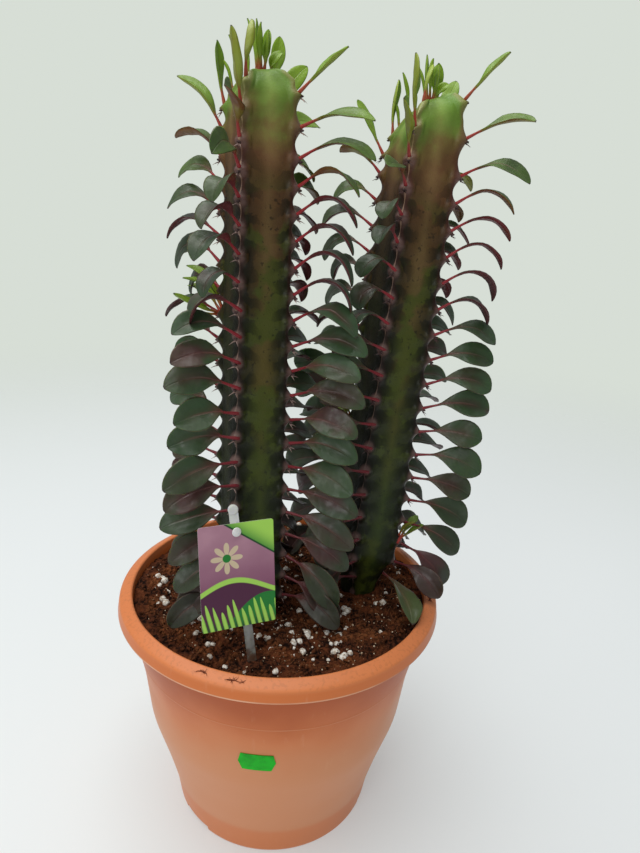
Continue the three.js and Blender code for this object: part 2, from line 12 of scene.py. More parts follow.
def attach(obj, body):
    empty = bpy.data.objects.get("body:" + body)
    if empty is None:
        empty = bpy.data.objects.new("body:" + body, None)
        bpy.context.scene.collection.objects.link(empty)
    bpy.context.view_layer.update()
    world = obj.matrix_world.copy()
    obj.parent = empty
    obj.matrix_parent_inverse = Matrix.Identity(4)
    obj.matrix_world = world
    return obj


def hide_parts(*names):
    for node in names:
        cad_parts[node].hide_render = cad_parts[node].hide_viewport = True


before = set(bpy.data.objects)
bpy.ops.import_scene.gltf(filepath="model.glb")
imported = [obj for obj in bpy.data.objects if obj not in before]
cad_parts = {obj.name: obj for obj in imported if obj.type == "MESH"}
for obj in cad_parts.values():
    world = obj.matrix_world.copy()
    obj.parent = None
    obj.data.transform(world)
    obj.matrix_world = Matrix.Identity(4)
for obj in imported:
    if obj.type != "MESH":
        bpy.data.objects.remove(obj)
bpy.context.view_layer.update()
mm = 0.001
scene = bpy.context.scene


# Small helpers


def lerp(low, high, share):
    return low + (high - low) * share


def smooth(value, low, high):
    share = min(max((value - low) / (high - low), 0.0), 1.0)
    return share * share * (3 - 2 * share)


def scatter(seed, index):  # a repeatable value from -1 to 1, the same as in the solids
    value = math.sin(seed * 12.9898 + index * 78.233) * 43758.5453
    return 2 * (value - math.floor(value)) - 1


def makeObject(name, verts, faces, material, sharpAngle=None):
    mesh = bpy.data.meshes.new(name)
    mesh.from_pydata([tuple(v) for v in verts], [], faces)
    mesh.validate()
    mesh.polygons.foreach_set("use_smooth", [True] * len(mesh.polygons))
    if sharpAngle:
        mesh.set_sharp_from_angle(angle=math.radians(sharpAngle))
    mesh.materials.append(material)
    obj = bpy.data.objects.new(name, mesh)
    scene.collection.objects.link(obj)
    return obj


def finishPiece(obj, slot, *nodes):
    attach(obj, "root")
    if nodes:
        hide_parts(*nodes)
    return obj


def pointColours(obj, name, values):
    layer = obj.data.color_attributes.new(name, "FLOAT_COLOR", "POINT")
    layer.data.foreach_set("color", np.asarray(values, dtype=np.float32).ravel())


def pointUvs(obj, name, values):  # one (u, v) for each point, written to the corners
    layer = obj.data.uv_layers.new(name=name)
    corner = np.zeros(len(obj.data.loops), dtype=np.int32)
    obj.data.loops.foreach_get("vertex_index", corner)
    layer.data.foreach_set("uv", np.asarray(values, dtype=np.float32)[corner].ravel())


def tubeFaces(rings, count, start=0, caps=True):
    faces = []
    for r in range(rings - 1):
        for i in range(count):
            a = start + r * count + i
            b = start + r * count + (i + 1) % count
            faces.append((a, b, b + count, a + count))
    if caps:
        last = start + (rings - 1) * count
        faces.append(tuple(start + i for i in reversed(range(count))))
        faces.append(tuple(last + i for i in range(count)))
    return faces


def circle(radius, sides):
    turns = [2 * math.pi * i / sides for i in range(sides)]
    return [(radius * math.cos(turn), radius * math.sin(turn)) for turn in turns]


def closedFaces(rings, count):  # rings of points between a first and a last point on the axis
    faces = tubeFaces(rings, count, start=1, caps=False)
    last = 1 + (rings - 1) * count
    for i in range(count):
        faces.append((0, 1 + (i + 1) % count, 1 + i))
        faces.append((last + count, last + i, last + (i + 1) % count))
    return faces


def sheetFaces(columns, rows):  # a back and a front layer of a grid of points, joined round their border
    wide = columns + 1
    count = wide * (rows + 1)
    faces = []
    for r in range(rows):
        for i in range(columns):
            a = r * wide + i
            faces.append((a, a + wide, a + wide + 1, a + 1))
            faces.append(tuple(count + k for k in (a, a + 1, a + wide + 1, a + wide)))
    border = list(range(wide))
    border += [(r + 1) * wide + columns for r in range(rows)]
    border += [rows * wide + i for i in reversed(range(columns))]
    border += [r * wide for r in reversed(range(1, rows))]
    for a, b in zip(border, border[1:] + border[:1]):
        faces.append((a, b, b + count, a + count))
    return faces


def bakeModifiers(obj):  # the evaluated mesh becomes the object's own, with no modifier left
    graph = bpy.context.evaluated_depsgraph_get()
    mesh = bpy.data.meshes.new_from_object(obj.evaluated_get(graph))
    obj.modifiers.clear()
    old = obj.data
    obj.data = mesh
    bpy.data.meshes.remove(old)


def runTree(obj, tree, values):  # sets a tree's named inputs on an object and keeps the plain mesh it makes
    modifier = obj.modifiers.new(tree.name, "NODES")
    modifier.node_group = tree
    for item in tree.interface.items_tree:
        if item.in_out == "INPUT" and item.name in values:
            modifier[item.identifier] = values[item.name]
    name = obj.data.name
    bakeModifiers(obj)
    obj.data.name = name


# Camera

cameraSpot = {
    "place": (23, -433, 458),
    "pitch": 18.6,
    "roll": 3.27,
    "yaw": 0.1,
    "lens": 27.0,
}


def makeCamera():
    pitch, roll, yaw = (math.radians(cameraSpot[key]) for key in ("pitch", "roll", "yaw"))
    forward = Vector((math.sin(yaw) * math.cos(pitch), math.cos(yaw) * math.cos(pitch), -math.sin(pitch)))
    level = forward.cross(Vector((0, 0, 1))).normalized()
    upright = level.cross(forward).normalized()
    right = level * math.cos(roll) + upright * math.sin(roll)
    up = upright * math.cos(roll) - level * math.sin(roll)
    data = bpy.data.cameras.new("camera")
    data.sensor_width = 36
    data.lens = cameraSpot["lens"]
    data.clip_start = 0.01
    obj = bpy.data.objects.new("camera", data)
    scene.collection.objects.link(obj)
    turn = Matrix((right, up, -forward)).transposed().to_4x4()
    turn.translation = Vector(cameraSpot["place"]) * mm
    obj.matrix_world = turn
    scene.camera = obj


makeCamera()
print("camera placed")


# Node helpers


def plug(tree, socket, value):
    if isinstance(value, bpy.types.NodeSocket):
        tree.links.new(value, socket)
    else:
        socket.default_value = value


def addNode(tree, kind, inputs=None, **settings):
    item = tree.nodes.new(kind)
    for key, value in settings.items():
        setattr(item, key, value)
    for key, value in (inputs or {}).items():
        plug(tree, item.inputs[key], value)
    return item


def linear(colour):  # red, green and blue as seen on screen, 0 to 255, as a socket takes them
    parts = [part / 255 for part in colour]
    return (*(p / 12.92 if p <= 0.04045 else ((p + 0.055) / 1.055) ** 2.4 for p in parts), 1)


def mixColours(tree, factor, first, second):  # each colour is a socket, or three values as seen on screen
    first, second = (linear(value) if isinstance(value, tuple) else value for value in (first, second))
    return addNode(tree, "ShaderNodeMix", {0: factor, 6: first, 7: second}, data_type="RGBA").outputs[2]


def layered(tree, colour, coats):  # lays each coat, a strength and a colour, over the ones before it
    for strength, tint in coats:
        colour = mixColours(tree, strength, colour, tint)
    return colour


def maths(tree, operation, *values):
    return addNode(tree, "ShaderNodeMath", dict(enumerate(values)), operation=operation).outputs[0]


def times(tree, first, *others):
    for other in others:
        first = maths(tree, "MULTIPLY", first, other)
    return first


def plus(tree, first, second):
    return maths(tree, "ADD", first, second)


def minus(tree, first, second):
    return maths(tree, "SUBTRACT", first, second)


def timesPlus(tree, value, factor, start):
    return maths(tree, "MULTIPLY_ADD", value, factor, start)


def sway(tree, value, pattern, amount):  # moves a value up and down with a pattern that runs from 0 to 1
    return timesPlus(tree, minus(tree, pattern, 0.5), amount, value)


def mapRange(tree, value, low, high, toLow=0.0, toHigh=1.0, kind="SMOOTHSTEP"):
    inputs = {"Value": value, "From Min": low, "From Max": high, "To Min": toLow, "To Max": toHigh}
    return addNode(tree, "ShaderNodeMapRange", inputs, interpolation_type=kind).outputs["Result"]


def ramp(tree, value, stops):  # each stop is a place from 0 to 1 and a colour as seen on screen
    item = addNode(tree, "ShaderNodeValToRGB", {"Fac": value})
    elements = item.color_ramp.elements
    elements[0].position, elements[1].position = stops[0][0], stops[-1][0]
    elements[0].color, elements[1].color = linear(stops[0][1]), linear(stops[-1][1])
    for place, colour in stops[1:-1]:
        elements.new(place).color = linear(colour)
    return item.outputs["Color"]


def objectPlace(tree):
    return addNode(tree, "ShaderNodeTexCoord").outputs["Object"]


def splitVector(tree, vector):
    return addNode(tree, "ShaderNodeSeparateXYZ", {"Vector": vector}).outputs


def layerParts(tree, name):  # the four values of a colour layer
    layer = addNode(tree, "ShaderNodeVertexColor", layer_name=name)
    parts = addNode(tree, "ShaderNodeSeparateColor", {"Color": layer.outputs["Color"]})
    return (*(parts.outputs[key] for key in ("Red", "Green", "Blue")), layer.outputs["Alpha"])


def newMaterial(name, roughness, specular, subsurface=0.0):
    material = bpy.data.materials.new(name)
    material.use_nodes = True
    tree = material.node_tree
    shader = tree.nodes["Principled BSDF"]
    shader.inputs["Roughness"].default_value = roughness
    shader.inputs["Specular IOR Level"].default_value = specular
    if subsurface:
        shader.inputs["Subsurface Weight"].default_value = subsurface
        shader.inputs["Subsurface Radius"].default_value = (0.004, 0.006, 0.001)
        shader.inputs["Subsurface Scale"].default_value = 0.3
    return material, tree, shader


def roughFrom(tree, shader, pattern, amount, start):
    tree.links.new(timesPlus(tree, pattern, amount, start), shader.inputs["Roughness"])


def bumpFrom(tree, shader, height, strength, distance):
    bump = addNode(tree, "ShaderNodeBump", {"Height": height, "Strength": strength, "Distance": distance})
    tree.links.new(bump.outputs["Normal"], shader.inputs["Normal"])


# Shader groups: one for blotches of any size, one for dust and soil that settles on what faces up


def startGroup(name, inputs, results):
    group = bpy.data.node_groups.new(name, "ShaderNodeTree")
    for key, default in inputs.items():
        socket = group.interface.new_socket(key, in_out="INPUT", socket_type="NodeSocketFloat")
        socket.default_value = default
    for key in results:
        group.interface.new_socket(key, in_out="OUTPUT", socket_type="NodeSocketFloat")
    return group, group.nodes.new("NodeGroupInput").outputs, group.nodes.new("NodeGroupOutput").inputs


def makeBlotchGroup():
    inputs = {"Scale": 60.0, "Detail": 4.0, "Low": 0.4, "High": 0.6, "Stretch": 1.0}
    group, entry, leave = startGroup("blotches", inputs, ("Mask", "Height"))
    parts = splitVector(group, objectPlace(group))
    tall = times(group, parts["Z"], entry["Stretch"])
    spot = addNode(group, "ShaderNodeCombineXYZ", {"X": parts["X"], "Y": parts["Y"], "Z": tall})
    wanted = {"Vector": spot.outputs[0], "Scale": entry["Scale"], "Detail": entry["Detail"]}
    pattern = addNode(group, "ShaderNodeTexNoise", wanted).outputs["Fac"]
    plug(group, leave["Mask"], mapRange(group, pattern, entry["Low"], entry["High"]))
    plug(group, leave["Height"], pattern)
    return group


def makeDustGroup():
    group, entry, leave = startGroup("settledDust", {"Scale": 300.0, "Amount": 0.4}, ("Mask",))
    normal = addNode(group, "ShaderNodeNewGeometry").outputs["Normal"]
    upward = mapRange(group, splitVector(group, normal)["Z"], 0.15, 0.9)
    wanted = {"Vector": objectPlace(group), "Scale": entry["Scale"], "Detail": 6.0}
    specks = mapRange(group, addNode(group, "ShaderNodeTexNoise", wanted).outputs["Fac"], 0.5, 0.66)
    plug(group, leave["Mask"], times(group, specks, entry["Amount"], upward))
    return group


blotchGroup = makeBlotchGroup()
dustGroup = makeDustGroup()


def blotches(tree, scale, low=0.4, high=0.6, detail=4.0, stretch=1.0):
    values = {"Scale": scale, "Detail": detail, "Low": low, "High": high, "Stretch": stretch}
    return addNode(tree, "ShaderNodeGroup", values, node_tree=blotchGroup)


def settledDust(tree, scale, amount):
    values = {"Scale": scale, "Amount": amount}
    return addNode(tree, "ShaderNodeGroup", values, node_tree=dustGroup).outputs["Mask"]


def mottledMaterial(name, roughness, specular, pattern, colours, bump, gloss=None):  # two colours in blotches
    material, tree, shader = newMaterial(name, roughness, specular)
    blotch = blotches(tree, *pattern)
    tree.links.new(mixColours(tree, blotch.outputs["Mask"], *colours), shader.inputs["Base Color"])
    bumpFrom(tree, shader, blotch.outputs["Height"], *bump)
    if gloss:
        roughFrom(tree, shader, blotch.outputs["Mask"], *gloss)
    return material


print("shader groups ready")


# Pot

pot = {
    "sides": 160,
    "outerRings": 44,
    "innerRings": 24,
    "cornerReach": 1.1,  # how far the corners are rounded
    "sharpAngle": 38,
    "rimRadius": 120,
    "rimHeight": 183.1,
    "rimInnerRadius": 110.6,
    "rimInnerRise": 3.4,
    "lipRadius": 121.1,
    "lipDrop": 8.4,
    "lipThickness": 2.4,
    "grooveDepth": 5,
    "wall": 2.6,
    "footRadius": 78.5,
    "footWidth": 9.5,
    "channelDepth": 4,
    "padRadius": 34,
    "floor": 3,
    "drainHoles": 6,
    "drainRadius": 4.5,
    "drainCircle": 51,
    "notchAngles": (-135, -15, 105),
    "notchWidth": 28,
    "notchHeight": 4,
    "wallShape": ((0, 78.5), (0.13, 82.0), (0.3, 89.5), (0.5, 99.7), (0.72, 103.9), (1, 113.1)),
    "mouldLine": 140.5,  # height of the faint ring left by the mould
    "footBand": 26,  # below this height the colour is a little stronger, as the painted pale reflection gives way
    "colour": (216, 118, 58),
    # painted pale reflection of the bright floor on the lower wall
    "paleReflection": (216, 142, 96),
    # painted light on the rim's upper face
    "rimTopLight": (228, 172, 130),
    "flash": (246, 200, 164),
    # painted shade under the rim
    "underRimShade": (182, 84, 26),
    "scuff": (232, 190, 160),
    "dust": (96, 56, 36),
    "roughness": 0.4,
}
lipBottom = pot["rimHeight"] - pot["lipDrop"]
innerRim = pot["rimHeight"] + pot["rimInnerRise"]
floorTop = pot["channelDepth"] + pot["floor"]


def potWallRadius(z):  # the wall's bends are eased over 12 mm of height
    shares = [share * lipBottom for share, radius in pot["wallShape"]]
    radii = [radius for share, radius in pot["wallShape"]]
    return float(np.mean([np.interp(z + step, shares, radii) for step in (-6, -4, -2, 0, 2, 4, 6)]))


def easeCorners(profile, reach):  # rounds each sharp corner of a profile with a short arc
    eased = [profile[0]]
    for before, corner, after in zip(profile, profile[1:], profile[2:]):
        before, corner, after = (np.array(point, dtype=float) for point in (before, corner, after))
        back, ahead = before - corner, after - corner
        backLength, aheadLength = np.linalg.norm(back), np.linalg.norm(ahead)
        if np.dot(back, ahead) / (backLength * aheadLength) < -0.95:
            eased.append(tuple(corner))
            continue
        cut = min(reach, 0.4 * backLength, 0.4 * aheadLength)
        start, end = corner + back / backLength * cut, corner + ahead / aheadLength * cut
        for t in (0, 0.33, 0.67, 1):
            eased.append(tuple((1 - t) ** 2 * start + 2 * t * (1 - t) * corner + t * t * end))
    eased.append(profile[-1])
    return eased


def revolve(profile, sides):  # the profile starts and ends on the axis
    verts = [(0, 0, profile[0][1] * mm)]
    for radius, z in profile[1:-1]:
        verts += [(x * mm, y * mm, z * mm) for x, y in circle(radius, sides)]
    verts.append((0, 0, profile[-1][1] * mm))
    return verts, closedFaces(len(profile) - 2, sides)


def ringLine(tree, height, z, wide, narrow):  # a thin line round the pot, wide and narrow in millimetres
    away = maths(tree, "ABSOLUTE", minus(tree, height, z * mm))
    return mapRange(tree, away, wide * mm, narrow * mm)


def potMaterial():
    material, tree, shader = newMaterial("terracottaPlastic", pot["roughness"], 0.38)
    height = splitVector(tree, objectPlace(tree))["Z"]
    cloud = blotches(tree, 22, 0.2, 0.8, 3)
    fade = sway(tree, height, cloud.outputs["Height"], 0.03)
    # painted shade: darker from under the lip down past the mould line
    band = mapRange(tree, fade, (pot["mouldLine"] - 20) * mm, (pot["mouldLine"] + 26) * mm)
    band = times(tree, band, mapRange(tree, height, (lipBottom + 1) * mm, lipBottom * mm))
    # painted light: the top of the rim is made paler
    top = mapRange(tree, height, (pot["rimHeight"] - 3.5) * mm, (pot["rimHeight"] - 0.5) * mm)
    foot = mapRange(tree, height, pot["footBand"] * mm, (pot["footBand"] - 6) * mm)
    flash = ringLine(tree, height, lipBottom, 0.9, 0.3)
    ring = ringLine(tree, height, pot["mouldLine"], 0.7, 0.2)
    scuffs = blotches(tree, 190, 0.62, 0.75, 6, 0.25).outputs["Mask"]
    coats = (
        # painted pale reflection: the wall turns paler towards its lower part
        (mapRange(tree, fade, 0.15, 0.09), pot["paleReflection"]),
        (band, pot["underRimShade"]),
        (times(tree, top, 0.17), pot["rimTopLight"]),
        (times(tree, foot, 0.6), pot["colour"]),
        (times(tree, timesPlus(tree, ring, 0.3, flash), cloud.outputs["Mask"], 0.8), pot["flash"]),
        (times(tree, scuffs, 0.1), pot["scuff"]),
        (settledDust(tree, 420, 0.14), pot["dust"]),
    )
    tree.links.new(layered(tree, pot["colour"], coats), shader.inputs["Base Color"])
    gloss = timesPlus(tree, cloud.outputs["Mask"], 0.06, pot["roughness"] - 0.03)
    roughFrom(tree, shader, scuffs, 0.12, gloss)
    skin = blotches(tree, 1400, 0.3, 0.7, 2)
    bumpFrom(tree, shader, skin.outputs["Height"], 0.12, 0.0003)
    return material


def makePot():
    groove = lipBottom + pot["grooveDepth"]
    outer = [(potWallRadius(z), z) for z in np.linspace(3, lipBottom, pot["outerRings"])]
    line = pot["mouldLine"]
    outer += [(potWallRadius(line - 0.5), line - 0.5), (potWallRadius(line) + 0.2, line)]
    outer += [(potWallRadius(line + 0.5), line + 0.5)]
    outer.sort(key=lambda point: point[1])
    inner = [(potWallRadius(z) - pot["wall"], z) for z in np.linspace(lipBottom, floorTop, pot["innerRings"])]
    profile = [
        (0, 0),
        (pot["padRadius"], 0),
        (pot["padRadius"] + 3, pot["channelDepth"]),
        (pot["footRadius"] - pot["footWidth"] - 1, pot["channelDepth"]),
        (pot["footRadius"] - pot["footWidth"], 0),
        (pot["footRadius"], 0),
        *outer,
        (potWallRadius(groove), groove),
        (pot["lipRadius"] - pot["lipThickness"], groove),
        (pot["lipRadius"] - pot["lipThickness"], lipBottom),
        (pot["lipRadius"] + 0.15, lipBottom - 0.35),
        (pot["lipRadius"], lipBottom + 0.5),
        (pot["rimRadius"] + 0.5, pot["rimHeight"] - 3.5),
        (pot["rimRadius"], pot["rimHeight"] - 0.8),
        (pot["rimRadius"] - 1.6, pot["rimHeight"] + 0.5),
        (pot["rimInnerRadius"] + 1.4, innerRim),
        (pot["rimInnerRadius"], innerRim - 1),
        *inner,
        (0, floorTop),
    ]
    verts, faces = revolve(easeCorners(profile, pot["cornerReach"]), pot["sides"])
    obj = makeObject("pot_shell", verts, faces, potMaterial())
    cutter = bmesh.new()
    for i in range(pot["drainHoles"]):
        angle = 2 * math.pi * (i + 0.5) / pot["drainHoles"]
        spot = Vector((math.cos(angle), math.sin(angle), 0)) * pot["drainCircle"] * mm
        bmesh.ops.create_cone(
            cutter,
            cap_ends=True,
            segments=28,
            radius1=pot["drainRadius"] * mm,
            radius2=pot["drainRadius"] * mm,
            depth=30 * mm,
            matrix=Matrix.Translation(spot),
        )
    for angle in pot["notchAngles"]:
        size = (pot["footWidth"] + 12, pot["notchWidth"], 2 * pot["notchHeight"], 1 / mm)
        outward = Matrix.Translation(((pot["footRadius"] - pot["footWidth"] / 2 + 1) * mm, 0, 0))
        place = Matrix.Rotation(math.radians(angle), 4, "Z") @ outward @ (Matrix.Diagonal(size) * mm)
        bmesh.ops.create_cube(cutter, size=1, matrix=place)
    cutMesh = bpy.data.meshes.new("cutter")
    cutter.to_mesh(cutMesh)
    cutter.free()
    cutObject = bpy.data.objects.new("cutter", cutMesh)
    scene.collection.objects.link(cutObject)
    cut = obj.modifiers.new("cut", "BOOLEAN")
    cut.operation = "DIFFERENCE"
    cut.solver = "EXACT"
    cut.object = cutObject
    bakeModifiers(obj)
    bpy.data.objects.remove(cutObject)
    obj.data.set_sharp_from_angle(angle=math.radians(pot["sharpAngle"]))
    return finishPiece(obj, "pot_plastic", "pot")


makePot()
print("pot made")


# Stems: where they stand and how they grow, and the label's place in the soil

stems = (
    {
        "name": "stem_left",
        "seed": 11,
        "base": (-21, -33),
        "top": (-23, -8),
        "turn": 26,
        "side": 40.2,
        "crestPitch": 16,
        "firstCrest": 533.7,
        "apex": 531,
        "apexTilt": 5,
        "neckRadius": 16.5,
        "flare": 22,
        "leafTurn": {"A": -46, "B": -4, "C": -22, "D": -12},
        "lowTurn": {"A": 0, "B": 0, "C": 34, "D": 0},
        "bladeTaper": 1.2,  # a blade is widest a little past its middle
        "leafScale": {"A": (0.74, 0.9), "B": (0.93, 0.96), "C": (0.9, 0.9), "D": (0.76, 0.9)},
    },
    {
        "name": "stem_right",
        "seed": 29,
        "base": (61, 8),
        "top": (84, 33),
        "turn": 22.5,
        "side": 42.4,
        "crestPitch": 17.3,
        "firstCrest": 535.1,
        "apex": 526,
        "apexTilt": 14,
        "neckRadius": 14,
        "flare": 38,
        "leafTurn": {"A": -52, "B": 16, "C": -42, "D": -10},
        "lowTurn": {"A": 0, "B": -36, "C": 20, "D": 0},
        "bladeTaper": 1.6,
        "leafScale": {"A": (0.7, 0.72), "B": (0.9, 0.87), "C": (0.9, 0.95), "D": (0.72, 0.95)},
    },
)
label = {
    "foot": (-11.6, -89.6),
    "turn": 23.6,
    "leanBack": 10,
    "stakeTilt": -5,
    "stakeAbove": 103,
    "stakeBelow": 38,
    "stakeWidth": 6,
    "stakeThickness": 1.6,
    "knobRadius": 3.2,
    "pegRadius": 2,
    "pegHeadRadius": 3,
    "pegHeadThickness": 1.2,
    "cardWidth": 48,
    "cardHeight": 68,
    "cardThickness": 0.6,
    "cardCorner": 1.5,
    "pegHeight": 89,
    "pegBelowTop": 5.5,
}


# Soil

soil = {
    "level": 180,
    "lumps": ((9, -68, 12, 5), (-88, -20, 9, 4), (58, 62, 14, 4), (-40, 66, 13, 4.5), (-66, -58, 8, 2.5)),
    "rings": 120,
    "sides": 300,
    "crumbHeight": 2.1,  # how rough the surface is
    "shrunk": 1.2,  # how far it lies lower next to the wall
    "skinStep": 4,  # of the copy on which the loose bits are strewn
    "skinMargin": 4,
    "clearOfStem": (18, 22),
    "clearOfLabel": (4, 7),
    "dark": (24, 10, 5),
    "middle": (82, 44, 26),
    "reddish": (116, 62, 34),
}
fit = 0.3  # gap between two pieces that touch


def soilHeight(x, y):
    z = soil["level"] + 1.3 * math.sin(x / 17 + 0.8) * math.cos(y / 14) + 0.9 * math.sin(x / 9 - y / 11)
    for lumpX, lumpY, radius, height in soil["lumps"]:
        z += height * math.exp(-((x - lumpX) ** 2 + (y - lumpY) ** 2) / radius**2)
    return z


def roughSoil(x, y):
    rough = noise.noise(Vector((x / 7, y / 7, 3))) * 0.9 + noise.noise(Vector((x / 2.6, y / 2.6, 9))) * 0.75
    rough += noise.noise(Vector((x / 1.3, y / 1.3, 5))) * 0.35
    return soilHeight(x, y) + soil["crumbHeight"] * rough


def soilMaterial(name, dark, middle, reddish):
    material, tree, shader = newMaterial(name, 0.95, 0.12)
    fine = blotches(tree, 420, 0.4, 0.6, 9)
    coarse = blotches(tree, 90, 0.42, 0.6, 6)
    colour = mixColours(tree, fine.outputs["Mask"], dark, middle)
    colour = mixColours(tree, times(tree, coarse.outputs["Mask"], 0.5), colour, reddish)
    tree.links.new(colour, shader.inputs["Base Color"])
    bumpFrom(tree, shader, fine.outputs["Height"], 1.0, 0.003)
    return material


def makeSoil():
    clear = pot["wall"] + fit
    edge = potWallRadius(lipBottom) - clear
    rings, sides = soil["rings"], soil["sides"]
    verts = [(0, 0, (floorTop + fit) * mm)]
    low = [(potWallRadius(floorTop) - clear - 1, floorTop + fit)]
    low += [(potWallRadius(z) - clear, z) for z in np.linspace(floorTop + 8, lipBottom, 12)]
    for radius, z in low:
        verts += [(x * mm, y * mm, z * mm) for x, y in circle(radius, sides)]
    for r in range(rings):
        radius = edge * (1 - r / rings)
        dip = soil["shrunk"] * smooth(radius, edge - 3, edge)
        verts += [(x * mm, y * mm, (roughSoil(x, y) - dip) * mm) for x, y in circle(radius, sides)]
    verts.append((0, 0, roughSoil(0, 0) * mm))
    faces = closedFaces(len(low) + rings, sides)
    bed = soilMaterial("pottingSoil", soil["dark"], soil["middle"], soil["reddish"])
    return finishPiece(makeObject("soil_bed", verts, faces, bed), "soil", "soil")


def makeSoilSkin(name, material):  # a plain copy of the soil's top, on which the loose bits are strewn
    edge = potWallRadius(lipBottom) - pot["wall"] - soil["skinMargin"]
    step = soil["skinStep"]
    verts, faces, room, index = [], [], [], {}
    reach = int(edge / step) + 1
    for i in range(-reach, reach + 1):
        for j in range(-reach, reach + 1):
            x, y = i * step, j * step
            if math.hypot(x, y) <= edge:
                index[(i, j)] = len(verts)
                verts.append((x * mm, y * mm, roughSoil(x, y) * mm))
                nearest = min(math.hypot(x - stem["base"][0], y - stem["base"][1]) for stem in stems)
                nearLabel = math.hypot(x - label["foot"][0], y - label["foot"][1])
                room.append(smooth(nearest, *soil["clearOfStem"]) * smooth(nearLabel, *soil["clearOfLabel"]))
    for (i, j), first in index.items():
        corners = [index.get(key) for key in ((i + 1, j), (i + 1, j + 1), (i, j + 1))]
        if None not in corners:
            faces.append((first, *corners))
    skin = makeObject(name, verts, faces, material)
    skin.data.attributes.new("room", "FLOAT", "POINT").data.foreach_set("value", room)
    return skin


def startTree(name, inputs):  # a tree that takes a mesh and named inputs, each of its own kind
    tree = bpy.data.node_groups.new(name, "GeometryNodeTree")
    tree.interface.new_socket("Geometry", in_out="INPUT", socket_type="NodeSocketGeometry")
    for key, kind in inputs.items():
        tree.interface.new_socket(key, in_out="INPUT", socket_type="NodeSocket" + kind)
    tree.interface.new_socket("Geometry", in_out="OUTPUT", socket_type="NodeSocketGeometry")
    return tree, tree.nodes.new("NodeGroupInput").outputs, tree.nodes.new("NodeGroupOutput").inputs


def endTree(tree, mesh, material, leave):  # smooth faces with the material, as the tree's result
    rounded = addNode(tree, "GeometryNodeSetShadeSmooth", {"Geometry": mesh})
    wanted = {"Geometry": rounded.outputs[0], "Material": material}
    plug(tree, leave["Geometry"], addNode(tree, "GeometryNodeSetMaterial", wanted).outputs[0])


def strewTree(name, shape, settings):  # bits of one shape strewn over a surface
    sizes = dict.fromkeys(("Density", "Smallest", "Largest", "Roughness"), "Float")
    tree, entry, leave = startTree(name, {**sizes, "Seed": "Int", "Material": "Material"})
    room = addNode(tree, "GeometryNodeInputNamedAttribute", {"Name": "room"}, data_type="FLOAT")
    clusters = addNode(tree, "ShaderNodeTexNoise", {"Scale": settings["clusters"], "Detail": 2.0})
    crowd = mapRange(tree, clusters.outputs["Fac"], 0.42, 0.62, 0.15, 1.6, "LINEAR")
    density = times(tree, entry["Density"], room.outputs["Attribute"], crowd)
    points = addNode(
        tree,
        "GeometryNodeDistributePointsOnFaces",
        {"Mesh": entry["Geometry"], "Density": density, "Seed": entry["Seed"]},
    )
    chance = addNode(tree, "FunctionNodeRandomValue", {"Seed": entry["Seed"]}, data_type="FLOAT")
    share = maths(tree, "POWER", chance.outputs[1], settings["skew"])  # many small bits, few large ones
    size = mapRange(tree, share, 0, 1, entry["Smallest"], entry["Largest"], "LINEAR")
    limits = {0: tuple(-angle for angle in settings["turn"]), 1: settings["turn"], "Seed": entry["Seed"]}
    turn = addNode(tree, "FunctionNodeRandomValue", limits, data_type="FLOAT_VECTOR")
    bit = shape(tree)
    placed = addNode(
        tree,
        "GeometryNodeInstanceOnPoints",
        {"Points": points.outputs["Points"], "Instance": bit, "Rotation": turn.outputs[0], "Scale": size},
    )
    real = addNode(tree, "GeometryNodeRealizeInstances", {"Geometry": placed.outputs[0]})
    pattern = addNode(tree, "ShaderNodeTexNoise", {"Scale": settings["lumps"], "Detail": 1.0})
    ends = {0: pattern.outputs["Color"], 1: (0.5, 0.5, 0.5)}
    centred = addNode(tree, "ShaderNodeVectorMath", ends, operation="SUBTRACT").outputs[0]
    wanted = {0: centred, "Scale": entry["Roughness"]}
    shift = addNode(tree, "ShaderNodeVectorMath", wanted, operation="SCALE")
    wanted = {"Geometry": real.outputs[0], "Offset": shift.outputs["Vector"]}
    moved = addNode(tree, "GeometryNodeSetPosition", wanted)
    endTree(tree, moved.outputs[0], entry["Material"], leave)
    return tree


def lumpShape(level):
    def build(tree):
        values = {"Radius": 1.0, "Subdivisions": level}
        return addNode(tree, "GeometryNodeMeshIcoSphere", values).outputs["Mesh"]

    return build


def bendOver(tree, mesh, amount):  # moves a shape's points towards +X
    shift = addNode(tree, "ShaderNodeCombineXYZ", {"X": amount})
    wanted = {"Geometry": mesh, "Offset": shift.outputs[0]}
    return addNode(tree, "GeometryNodeSetPosition", wanted).outputs[0]


def fibreShape(tree):  # a thin bent thread, one unit long
    cone = addNode(
        tree,
        "GeometryNodeMeshCone",
        {"Vertices": 3, "Side Segments": 4, "Radius Top": 0.015, "Radius Bottom": 0.04, "Depth": 1.0},
        fill_type="TRIANGLE_FAN",
    )
    height = splitVector(tree, addNode(tree, "GeometryNodeInputPosition").outputs[0])["Z"]
    bend = times(tree, maths(tree, "SINE", times(tree, height, 3.0)), 0.22)
    return bendOver(tree, cone.outputs["Mesh"], bend)


